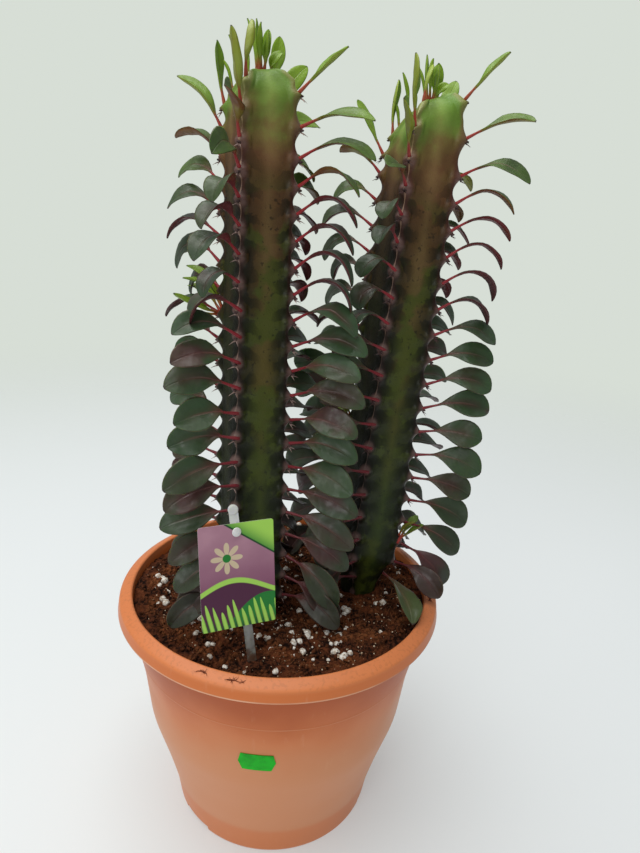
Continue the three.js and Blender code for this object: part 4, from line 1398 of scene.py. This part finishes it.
def leafMaterial():
    material, tree, shader = newMaterial("leafSkin", 0.42, 0.4, subsurface=0.08)
    shader.inputs["Sheen Weight"].default_value = 0.05
    shader.inputs["Sheen Roughness"].default_value = 0.6
    age, draw, under, fresh = layerParts(tree, "leafTone")
    across, along = splitVector(tree, addNode(tree, "ShaderNodeUVMap", uv_map="leafUv").outputs["UV"])[:2]
    fromMiddle = maths(tree, "ABSOLUTE", timesPlus(tree, across, 2.0, -1.0))
    cloud = blotches(tree, 55, 0.3, 0.7, 4)
    shift = sway(tree, sway(tree, age, draw, 0.07), cloud.outputs["Height"], 0.14)
    patches = blotches(tree, 34, 0.42, 0.62, 3).outputs["Mask"]
    grown = mapRange(tree, age, 0.12, 0.3)
    bronze = times(tree, patches, mapRange(tree, draw, 0.2, 0.9, 0.1, 0.85), grown)
    flush = times(tree, mapRange(tree, along, 0.5, 0.16), mapRange(tree, fromMiddle, 1.0, 0.2, 0.25, 1.0))
    flush = times(tree, flush, mapRange(tree, age, 0.05, 0.2, 0.25, 0.75))
    wine = sway(tree, fromMiddle, cloud.outputs["Height"], 0.7)
    wine = times(tree, mapRange(tree, wine, 0.5, 0.08), mapRange(tree, along, 0.98, 0.7))
    wine = times(tree, wine, mapRange(tree, draw, 0.1, 0.7, 0.1, 0.46), mapRange(tree, age, 0.2, 0.4))
    rib = times(tree, mapRange(tree, fromMiddle, 0.12, 0.03), mapRange(tree, along, 0.92, 0.3))
    rib = times(tree, rib, timesPlus(tree, patches, -0.25, 0.5))
    stalk = mapRange(tree, along, 0.26, 0.15)
    lime = mixColours(tree, mapRange(tree, along, 0.0, 0.4), leafColours["freshFoot"], leafColours["lime"])
    margin = times(tree, mapRange(tree, fromMiddle, 0.9, 1.0), mapRange(tree, along, 0.2, 0.32), 0.3)
    tip = mapRange(tree, along, 0.978, 0.992)
    coats = (
        (mapRange(tree, under, 0.45, 0.6), ramp(tree, shift, leafColours["under"])),
        (bronze, leafColours["bronze"]),
        (flush, leafColours["flush"]),
        (wine, leafColours["wine"]),
        (rib, leafColours["midrib"]),
        (times(tree, stalk, 0.9), ramp(tree, age, leafColours["stalk"])),
        (times(tree, fresh, 0.8), lime),
        (margin, leafColours["margin"]),
        (times(tree, tip, 0.85), leafColours["tip"]),
    )
    top = ramp(tree, shift, leafColours["top"])
    tree.links.new(layered(tree, top, coats), shader.inputs["Base Color"])
    bloom = blotches(tree, 240, 0.35, 0.65, 5)
    roughFrom(tree, shader, bloom.outputs["Mask"], 0.16, 0.34)
    veinRun = timesPlus(tree, fromMiddle, -9.0, times(tree, along, 60.0))
    veins = times(tree, maths(tree, "SINE", veinRun), 0.06)
    groove = mapRange(tree, fromMiddle, 0.0, 0.1)
    relief = plus(tree, plus(tree, veins, groove), times(tree, bloom.outputs["Height"], 0.05))
    dents = times(tree, blotches(tree, 62, 0.3, 0.7, 2).outputs["Height"], 6.5)
    bumpFrom(tree, shader, plus(tree, relief, dents), 0.4, 0.0006)
    return material


leafColours = {
    "top": (
        (0.0, (128, 164, 24)),
        (0.08, (106, 140, 26)),
        (0.12, (82, 112, 26)),
        (0.17, (58, 80, 32)),
        (0.3, (44, 64, 38)),
        (0.5, (56, 82, 48)),
        (0.75, (52, 68, 42)),
        (1.0, (44, 40, 34)),
    ),
    "under": (
        (0.0, (154, 176, 60)),
        (0.08, (140, 148, 42)),
        (0.13, (118, 78, 32)),
        (0.2, (104, 28, 30)),
        (0.5, (80, 34, 34)),
        (0.8, (58, 40, 38)),
        (1.0, (44, 36, 32)),
    ),
    "stalk": ((0.0, (176, 70, 48)), (0.08, (170, 32, 38)), (0.4, (144, 18, 36)), (1.0, (92, 24, 32))),
    "freshFoot": (170, 62, 42),
    "lime": (132, 168, 30),
    "flush": (112, 42, 44),
    "bronze": (80, 46, 46),
    "wine": (74, 32, 34),
    "midrib": (138, 84, 78),
    "margin": (112, 50, 46),
    "tip": (54, 34, 30),
}


def makeLeaves(number, stem, material):
    leaves = [leaf for rib in "ABCD" for leaf in ribLeaves(stem, rib)] + crownLeaves(stem)
    leaves += budLeaves(stem)
    for shoot in sideShoots:
        if shoot["stem"] == number:
            leaves += shootLeaves(stem, shoot)
    for low in lowLeaves:
        if low["stem"] == number:
            extra = {"root": crestPoint(stem, low["rib"], low["z"]), "azimuth": math.radians(low["azimuth"])}
            leaves.append(settle({**low, **extra, "taper": stem["bladeTaper"], "draw": 0.2}))
    count = len(leafShape["across"])
    verts, faces, coords, tones = [], [], [], []
    for leaf in leaves:
        points, spots, shades = leafRings(leaf)
        faces += tubeFaces(len(points) // count, count, start=len(verts))
        verts += [point * mm for point in points]
        coords += spots
        tones += shades
    obj = makeObject(stem["name"] + "_leaves", verts, faces, material)
    pointColours(obj, "leafTone", tones)
    pointUvs(obj, "leafUv", coords)
    print(obj.name, len(leaves), "leaves")
    return finishPiece(obj, "plant")


leafSkin = leafMaterial()
for number, stem in enumerate(stems):
    makeLeaves(number, stem, leafSkin)


# Spines and the small pads that carry them, one pair at each crest

spines = {
    "length": 4.8,
    "radius": 0.48,
    "tipRadius": 0.05,
    "hook": 0.9,  # how far the tip bends down
    "spread": 42,
    "inset": 1.6,  # how far a spine's root lies inside the crest and below it
    "below": 2.0,
    "padInset": 1.1,  # and the same for the middle of a pad
    "padBelow": 0.9,
    "padsStop": 6,  # how far below the apex the uppermost pad and the uppermost pair stand
    "spinesStop": 12,
    "padRadius": 1.5,
    "padShape": (1.15, 0.8, 0.6),  # outward, sideways and up
    "colour": {"stem_left": (176, 148, 138), "stem_right": (92, 64, 62)},
    "tipColour": (58, 40, 38),
    "padColour": (96, 74, 72),
    "padShade": (58, 42, 40),
}


def growTree(name, shape):  # one small shape on each point, turned and sized by the point's attributes
    sizes = dict.fromkeys(("Length", "Radius", "Tip Radius", "Hook"), "Float")
    tree, entry, leave = startTree(name, {**sizes, "Material": "Material"})
    turn = addNode(tree, "GeometryNodeInputNamedAttribute", {"Name": "turn"}, data_type="FLOAT_VECTOR")
    size = addNode(tree, "GeometryNodeInputNamedAttribute", {"Name": "size"}, data_type="FLOAT")
    wanted = {"Points": entry["Geometry"], "Instance": shape(tree, entry)}
    wanted.update({"Rotation": turn.outputs[0], "Scale": size.outputs[0]})
    placed = addNode(tree, "GeometryNodeInstanceOnPoints", wanted)
    real = addNode(tree, "GeometryNodeRealizeInstances", {"Geometry": placed.outputs[0]})
    endTree(tree, real.outputs[0], entry["Material"], leave)
    return tree


def spineShape(tree, entry):
    cone = addNode(
        tree,
        "GeometryNodeMeshCone",
        {
            "Vertices": 5,
            "Side Segments": 4,
            "Radius Top": entry["Tip Radius"],
            "Radius Bottom": entry["Radius"],
            "Depth": entry["Length"],
        },
        fill_type="TRIANGLE_FAN",
    )
    height = splitVector(tree, addNode(tree, "GeometryNodeInputPosition").outputs[0])["Z"]
    share = maths(tree, "DIVIDE", height, entry["Length"])
    bend = times(tree, maths(tree, "POWER", share, 2.0), entry["Hook"])
    return bendOver(tree, cone.outputs["Mesh"], bend)


def padShape(tree, entry):
    ball = addNode(tree, "GeometryNodeMeshIcoSphere", {"Radius": entry["Radius"], "Subdivisions": 2})
    wanted = {"Geometry": ball.outputs["Mesh"], "Scale": spines["padShape"]}
    return addNode(tree, "GeometryNodeTransform", wanted).outputs[0]


def grow(name, tree, values, points, turns, sizes, material):
    mesh = bpy.data.meshes.new(name)
    mesh.from_pydata([tuple(point) for point in points], [], [])
    mesh.attributes.new("turn", "FLOAT_VECTOR", "POINT").data.foreach_set("vector", np.ravel(turns))
    mesh.attributes.new("size", "FLOAT", "POINT").data.foreach_set("value", np.ravel(sizes))
    obj = bpy.data.objects.new(name, mesh)
    scene.collection.objects.link(obj)
    runTree(obj, tree, {**values, "Material": material})
    return finishPiece(obj, "plant")


def spineMaterial(name):
    colours = (spines["colour"][name], spines["tipColour"])
    return mottledMaterial(name + "_horn", 0.5, 0.4, (700, 0.45, 0.75, 3), colours, (0.3, 0.0003))


def padMaterial():
    colours = (spines["padColour"], spines["padShade"])
    return mottledMaterial("crestPad", 0.7, 0.3, (900, 0.35, 0.65, 4), colours, (0.6, 0.0005))


def makeSpines():
    spineTree = growTree("growSpines", spineShape)
    padTree = growTree("growPads", padShape)
    pad = padMaterial()
    for stem in stems:
        horn = spineMaterial(stem["name"])
        roots, turns, sizes, padSpots, padTurns, padSizes = [], [], [], [], [], []
        for rib in "ABCD":
            angle = ribAngle(stem, rib)
            radial = Vector((math.cos(angle), math.sin(angle), 0))
            for i, z in enumerate(crestHeights(stem, rib)):
                spot = crestPoint(stem, rib, z)
                draw = scatter(stem["seed"] + 40, i)
                if z < stem["apex"] - spines["padsStop"]:
                    padSpot = spot - radial * spines["padInset"] - Vector((0, 0, spines["padBelow"]))
                    padSpots.append(padSpot * mm)
                    basis = Matrix((radial, Vector((-radial.y, radial.x, 0)), Vector((0, 0, 1)))).transposed()
                    padTurns.append(tuple(basis.to_euler()))
                    padSizes.append(lerp(0.75, 1, smooth(stem["apex"] - z, spines["padsStop"], 60)))
                if z > stem["apex"] - spines["spinesStop"]:
                    continue
                for hand in (-1, 1):
                    turn = angle + math.radians(hand * (spines["spread"] + 6 * draw))
                    ahead = Vector((math.cos(turn), math.sin(turn), -0.25 + 0.15 * draw)).normalized()
                    down = Vector((0, 0, -1)) + ahead * ahead.z
                    down.normalize()
                    basis = Matrix((down, ahead.cross(down), ahead)).transposed()
                    roots.append((spot - radial * spines["inset"] - Vector((0, 0, spines["below"]))) * mm)
                    turns.append(tuple(basis.to_euler()))
                    sizes.append(1 + 0.15 * scatter(stem["seed"] + 41, 2 * i + hand))
        values = {
            "Length": spines["length"] * mm,
            "Radius": spines["radius"] * mm,
            "Tip Radius": spines["tipRadius"] * mm,
            "Hook": spines["hook"] * mm,
        }
        grow(stem["name"] + "_spines", spineTree, values, roots, turns, sizes, horn)
        values = {"Radius": spines["padRadius"] * mm}
        grow(stem["name"] + "_pads", padTree, values, padSpots, padTurns, padSizes, pad)


makeSpines()
print("spines made")


# Label: a printed card on a plastic stake


def labelFrame(leansSideways):  # X across, Z up the stake, the printed face towards -Y
    place = Matrix.Translation((label["foot"][0] * mm, label["foot"][1] * mm, soil["level"] * mm))
    place = place @ Matrix.Rotation(math.radians(label["turn"]), 4, "Z")
    place = place @ Matrix.Rotation(math.radians(-label["leanBack"]), 4, "X")
    if leansSideways:
        place = place @ Matrix.Rotation(math.radians(label["stakeTilt"]), 4, "Y")
    return place


def cardLines(low, high, corner, step):  # closer lines next to the rounded corners
    near = [0, 0.08, 0.3, 0.62, 1]
    ends = [low + corner * share for share in near]
    middle = int((high - low - 2 * corner) / step)
    inner = list(np.linspace(low + corner, high - corner, middle + 1))[1:-1]
    return ends + inner + [high - corner * share for share in reversed(near)]


def makeCard():
    w, h, c = label["cardWidth"], label["cardHeight"], label["cardCorner"]
    tilt = math.radians(label["stakeTilt"])
    pegX, pegZ = label["pegHeight"] * math.sin(tilt), label["pegHeight"] * math.cos(tilt)
    gap = label["stakeThickness"] / 2 + fit
    columns = cardLines(-w / 2, w / 2, c, 2.2)
    rows = cardLines(-h, 0, c, 2.2)
    verts, coords = [], []
    for z in rows:
        for x in columns:
            cornerX = min(max(x, -w / 2 + c), w / 2 - c)
            cornerZ = min(max(z, -h + c), -c)
            offX, offZ = x - cornerX, z - cornerZ
            far = math.hypot(offX, offZ)
            if offX and offZ and far > 0:
                reach = max(abs(offX), abs(offZ)) / far
                offX, offZ = offX * reach, offZ * reach
            px, pz = cornerX + offX, cornerZ + offZ
            bow = -0.35 * (px / (w / 2)) ** 2 + 0.25 * (pz / h + 0.5) ** 2
            verts.append((pegX + px, -gap + bow * 0.6, pegZ + label["pegBelowTop"] + pz))
            coords.append((px / w + 0.5, pz / h + 1))
    count = len(verts)
    verts += [(x, y - label["cardThickness"], z) for x, y, z in verts]
    verts = [(x * mm, y * mm, z * mm) for x, y, z in verts]
    coords += coords
    faces = sheetFaces(len(columns) - 1, len(rows) - 1)
    obj = makeObject("label_card_printed", verts, faces, cardMaterial(), 40)
    pointUvs(obj, "cardUv", coords)
    pointColours(obj, "front", [(0, 0, 0, 1)] * count + [(1, 1, 1, 1)] * count)
    obj.data.transform(labelFrame(False))
    obj.data.update()
    return finishPiece(obj, "label_card", "label_card")


cardColours = {
    "field": (190, 142, 158),
    "fieldLow": (132, 74, 104),
    "swoosh": (24, 128, 44),
    "swooshDark": (10, 70, 28),
    "swooshEdge": (172, 224, 92),
    "panel": (80, 28, 62),
    "petal": (226, 210, 168),
    "back": (226, 224, 218),
    "dust": (90, 66, 50),
}
stakeColours = {
    "milky": ((236, 236, 234), (214, 214, 210)),  # the upper part, in two tones
    "clear": ((136, 138, 132), (98, 98, 92)),
    "mud": (92, 66, 50),
}


def cardMaterial():
    material, tree, shader = newMaterial("printedCard", 0.38, 0.45)
    x, y = splitVector(tree, addNode(tree, "ShaderNodeUVMap", uv_map="cardUv").outputs["UV"])[:2]
    cloud = blotches(tree, 70, 0.3, 0.7, 3).outputs["Mask"]
    above = minus(tree, y, timesPlus(tree, maths(tree, "SINE", times(tree, x, 3.6)), 0.1, 0.36))
    edge = mapRange(tree, maths(tree, "ABSOLUTE", above), 0.03, 0.02)
    panel = mapRange(tree, above, 0.004, -0.004)
    hill = maths(tree, "POWER", maths(tree, "ABSOLUTE", minus(tree, x, 0.9)), 2.0)
    slope = mapRange(tree, minus(tree, y, timesPlus(tree, hill, -0.9, 0.3)), 0.004, -0.004)
    # the flower, with its centre at 0.36 across and 0.68 up
    aside = times(tree, minus(tree, x, 0.36), label["cardWidth"] / label["cardHeight"])
    over = minus(tree, y, 0.68)
    reach = maths(tree, "SQRT", plus(tree, times(tree, aside, aside), times(tree, over, over)))
    turn = times(tree, maths(tree, "ARCTAN2", over, aside), 4.0)
    petals = maths(tree, "POWER", maths(tree, "ABSOLUTE", maths(tree, "COSINE", turn)), 0.6)
    petal = mapRange(tree, minus(tree, times(tree, petals, 0.15), reach), -0.002, 0.002)
    heart = mapRange(tree, reach, 0.042, 0.036)
    # blades of grass along the foot
    blade = maths(tree, "ABSOLUTE", maths(tree, "SINE", timesPlus(tree, x, 34.0, times(tree, y, 11.0))))
    tall = timesPlus(tree, maths(tree, "SINE", times(tree, x, 19.0)), 0.05, 0.2)
    grass = minus(tree, times(tree, blade, tall), times(tree, y, 0.9))
    bright = mapRange(tree, blade, 0.3, 0.95)
    corner = timesPlus(tree, x, 0.5, y)
    glow = mapRange(tree, corner, 1.1, 1.36)
    coats = (
        (mapRange(tree, y, 0.2, 1.0), cardColours["field"]),
        (times(tree, cloud, 0.25), cardColours["fieldLow"]),
        (panel, cardColours["panel"]),
        (edge, cardColours["swooshEdge"]),
        (slope, cardColours["swoosh"]),
        (times(tree, petal, 0.8), cardColours["petal"]),
        (heart, cardColours["swoosh"]),
        (
            times(tree, mapRange(tree, grass, -0.004, 0.004), panel),
            mixColours(tree, bright, cardColours["swooshDark"], cardColours["swooshEdge"]),
        ),
        (mapRange(tree, corner, 1.162, 1.17), cardColours["swooshDark"]),
        (
            mapRange(tree, corner, 1.18, 1.19),
            mixColours(tree, glow, cardColours["swoosh"], cardColours["swooshEdge"]),
        ),
    )
    printed = layered(tree, cardColours["fieldLow"], coats)
    front = addNode(tree, "ShaderNodeVertexColor", layer_name="front").outputs["Color"]
    colour = mixColours(tree, front, cardColours["back"], printed)
    dusty = mixColours(tree, settledDust(tree, 500, 0.5), colour, cardColours["dust"])
    tree.links.new(dusty, shader.inputs["Base Color"])
    grain = blotches(tree, 900, 0.35, 0.65, 3)
    roughFrom(tree, shader, grain.outputs["Mask"], 0.12, 0.32)
    bumpFrom(tree, shader, grain.outputs["Height"], 0.08, 0.0003)
    return material


def stakeMaterial():
    material, tree, shader = newMaterial("clearGreyPlastic", 0.22, 0.6, subsurface=0.1)
    cloud = blotches(tree, 120, 0.35, 0.65, 4)
    milky = mixColours(tree, cloud.outputs["Mask"], *stakeColours["milky"])
    clear = mixColours(tree, cloud.outputs["Mask"], *stakeColours["clear"])
    height = splitVector(tree, objectPlace(tree))["Z"]
    muddy = times(tree, mapRange(tree, height, 0.2, 0.182), cloud.outputs["Mask"])
    coats = ((mapRange(tree, height, 0.214, 0.25), milky), (muddy, stakeColours["mud"]))
    tree.links.new(layered(tree, clear, coats), shader.inputs["Base Color"])
    roughFrom(tree, shader, cloud.outputs["Mask"], 0.15, 0.16)
    bumpFrom(tree, shader, cloud.outputs["Height"], 0.1, 0.0005)
    return material


def discRings(radii, depths, sides):  # rings about the Y axis, from the back to the front
    return [(x, y, z) for radius, y in zip(radii, depths) for x, z in circle(radius, sides)]


def makeStake():
    w, t = label["stakeWidth"], label["stakeThickness"]
    verts, faces = [], []
    foot, head = -label["stakeBelow"], label["stakeAbove"]
    heights = (foot, foot + 3, foot + 9, -10, 0, 12, 30, 50, 70, 88, head - 2, head)
    section = ((1, 0), (0.96, 0.7), (0.4, 0.8), (0.22, 1.0), (-0.22, 1.0), (-0.4, 0.8), (-0.96, 0.7))
    section += ((-1, 0), (-0.96, -0.7), (-0.4, -0.8), (-0.22, -1.0), (0.22, -1.0), (0.4, -0.8), (0.96, -0.7))
    for z in heights:
        half = lerp(1, w / 2, smooth(z, foot, foot + 10))
        verts += [(x * half, y * t / 2, z) for x, y in section]
    faces += tubeFaces(len(heights), len(section))
    sides = 28
    gap = t / 2 + fit
    front = gap + label["cardThickness"] + fit
    knob, dome = label["knobRadius"], label["pegHeadRadius"]
    domeRadii = (dome - 0.3, dome, dome - 0.35, dome - 1.4, 0.5)
    domeDepths = (-front, -front - 0.35, -front - 0.8, -front - 1.1, -front - label["pegHeadThickness"])
    rounds = (  # height on the stake, radii, depths: the knob, the peg and its domed head
        (head, (knob - 0.5, knob, knob, knob - 0.5), (t / 2 + 0.4, t / 2, -t / 2, -t / 2 - 0.4)),
        (label["pegHeight"], (label["pegRadius"],) * 2, (0, -front - 0.4)),
        (label["pegHeight"], domeRadii, domeDepths),
    )
    for middle, radii, depths in rounds:
        ring = [(x, y, z + middle) for x, y, z in discRings(radii, depths, sides)]
        faces += tubeFaces(len(radii), sides, start=len(verts))
        verts += ring
    verts = [(x * mm, y * mm, z * mm) for x, y, z in verts]
    obj = makeObject("label_stake_moulded", verts, faces, stakeMaterial(), 35)
    obj.data.transform(labelFrame(True))
    obj.data.update()
    return finishPiece(obj, "label_stake", "label_stake")


makeCard()
makeStake()
print("label made")


# Sticker on the pot

sticker = {
    "width": 25.5,
    "height": 14.4,
    "angle": -93.2,
    "z": 109,
    "back": 0.12,  # how far its back and its front stand off the pot
    "front": 0.5,
    "foot": 0.78,  # how wide its lower edge is, as a share of its middle
    "head": 0.86,
    "columns": 40,
    "rows": 16,
    "colour": (0, 188, 24),
    "shade": (0, 160, 20),
}


def stickerMaterial():
    colours = (sticker["colour"], sticker["shade"])
    pattern = (160, 0.35, 0.65, 4)
    return mottledMaterial("greenSticker", 0.45, 0.2, pattern, colours, (0.1, 0.0004), (0.12, 0.3))


def makeSticker():
    rows, columns = sticker["rows"], sticker["columns"]
    middle = math.radians(sticker["angle"])
    reach = potWallRadius(sticker["z"])
    verts = []
    for lift in (sticker["back"], sticker["front"]):
        for r in range(rows + 1):
            share = r / rows
            lower, upper = lerp(sticker["foot"], 1, share * 2), lerp(1, sticker["head"], share * 2 - 1)
            half = sticker["width"] / 2 * (lower if share < 0.5 else upper)
            z = sticker["z"] + sticker["height"] * (share - 0.5)
            radius = potWallRadius(z) + lift
            for i in range(columns + 1):
                angle = middle + (2 * i / columns - 1) * half / reach
                verts.append((radius * math.cos(angle) * mm, radius * math.sin(angle) * mm, z * mm))
    obj = makeObject("sticker_sheet", verts, sheetFaces(columns, rows), stickerMaterial(), 50)
    return finishPiece(obj, "sticker", "price_sticker")


makeSticker()
print("sticker made")


# Floor and light

stage = {  # the floor's sizes in metres
    "radius": 1.9,
    "fadeFrom": 0.42,
    "floorColour": (193, 197, 197),
    "floorGlow": 0.54,  # lifts the shadow on the floor
    "backColour": (0.68, 0.73, 0.67),  # what the camera sees past the floor
    "roomColour": (0.92, 0.96, 1.0),  # what lights the plant from all round
    "roomStrength": 0.28,
    "sides": 96,
    "rings": (0.3, 0.8, 1.4),
}
lights = {  # place, target and size in metres, power in watts, colour
    "ceiling": ((-0.5, 0.0, 2.3), (0, 0, 0.2), 2.4, 46, (1.0, 0.99, 0.97)),
    "window": ((-0.9, -2.1, 1.4), (0, 0, 0.25), 1.2, 14, (0.98, 0.99, 1.0)),
}


def floorMaterial():
    material, tree, shader = newMaterial("paleFloor", 0.6, 0.3)
    shader.inputs["Base Color"].default_value = linear(stage["floorColour"])
    shader.inputs["Emission Color"].default_value = linear(stage["floorColour"])
    shader.inputs["Emission Strength"].default_value = stage["floorGlow"]
    reach = addNode(tree, "ShaderNodeVectorMath", {0: objectPlace(tree)}, operation="LENGTH").outputs["Value"]
    tree.links.new(mapRange(tree, reach, stage["radius"], stage["fadeFrom"]), shader.inputs["Alpha"])
    return material


def makeFloor():
    sides = stage["sides"]
    rings = (*stage["rings"], stage["radius"])
    verts = [(0, 0, 0)]
    for radius in rings:
        verts += [(x, y, 0) for x, y in circle(radius, sides)]
    faces = [(0, 1 + i, 1 + (i + 1) % sides) for i in range(sides)]
    for r in range(len(rings) - 1):
        for i in range(sides):
            a, b = 1 + r * sides + i, 1 + r * sides + (i + 1) % sides
            faces.append((a, a + sides, b + sides, b))
    floor = makeObject("floor", verts, faces, floorMaterial())
    floor.location.z = -0.0004


def addLight(name, place, target, size, power, colour):
    data = bpy.data.lights.new(name, "AREA")
    data.shape = "DISK"
    data.size = size
    data.energy = power
    data.color = colour
    obj = bpy.data.objects.new(name, data)
    scene.collection.objects.link(obj)
    obj.location = place
    obj.rotation_euler = (Vector(target) - Vector(place)).to_track_quat("-Z", "Y").to_euler()


def makeLight():
    world = bpy.data.worlds.new("paleRoom")
    scene.world = world
    world.use_nodes = True
    tree = world.node_tree
    room = tree.nodes["Background"]
    room.inputs["Color"].default_value = (*stage["roomColour"], 1)
    room.inputs["Strength"].default_value = stage["roomStrength"]
    backdrop = addNode(tree, "ShaderNodeBackground", {"Color": (*stage["backColour"], 1), "Strength": 1.0})
    ray = addNode(tree, "ShaderNodeLightPath").outputs["Is Camera Ray"]
    both = addNode(tree, "ShaderNodeMixShader", {0: ray, 1: room.outputs[0], 2: backdrop.outputs[0]})
    tree.links.new(both.outputs[0], tree.nodes["World Output"].inputs["Surface"])
    for name, values in lights.items():
        addLight(name, *values)


makeFloor()
makeLight()
scene.view_settings.view_transform = "Standard"
print("stage lit")
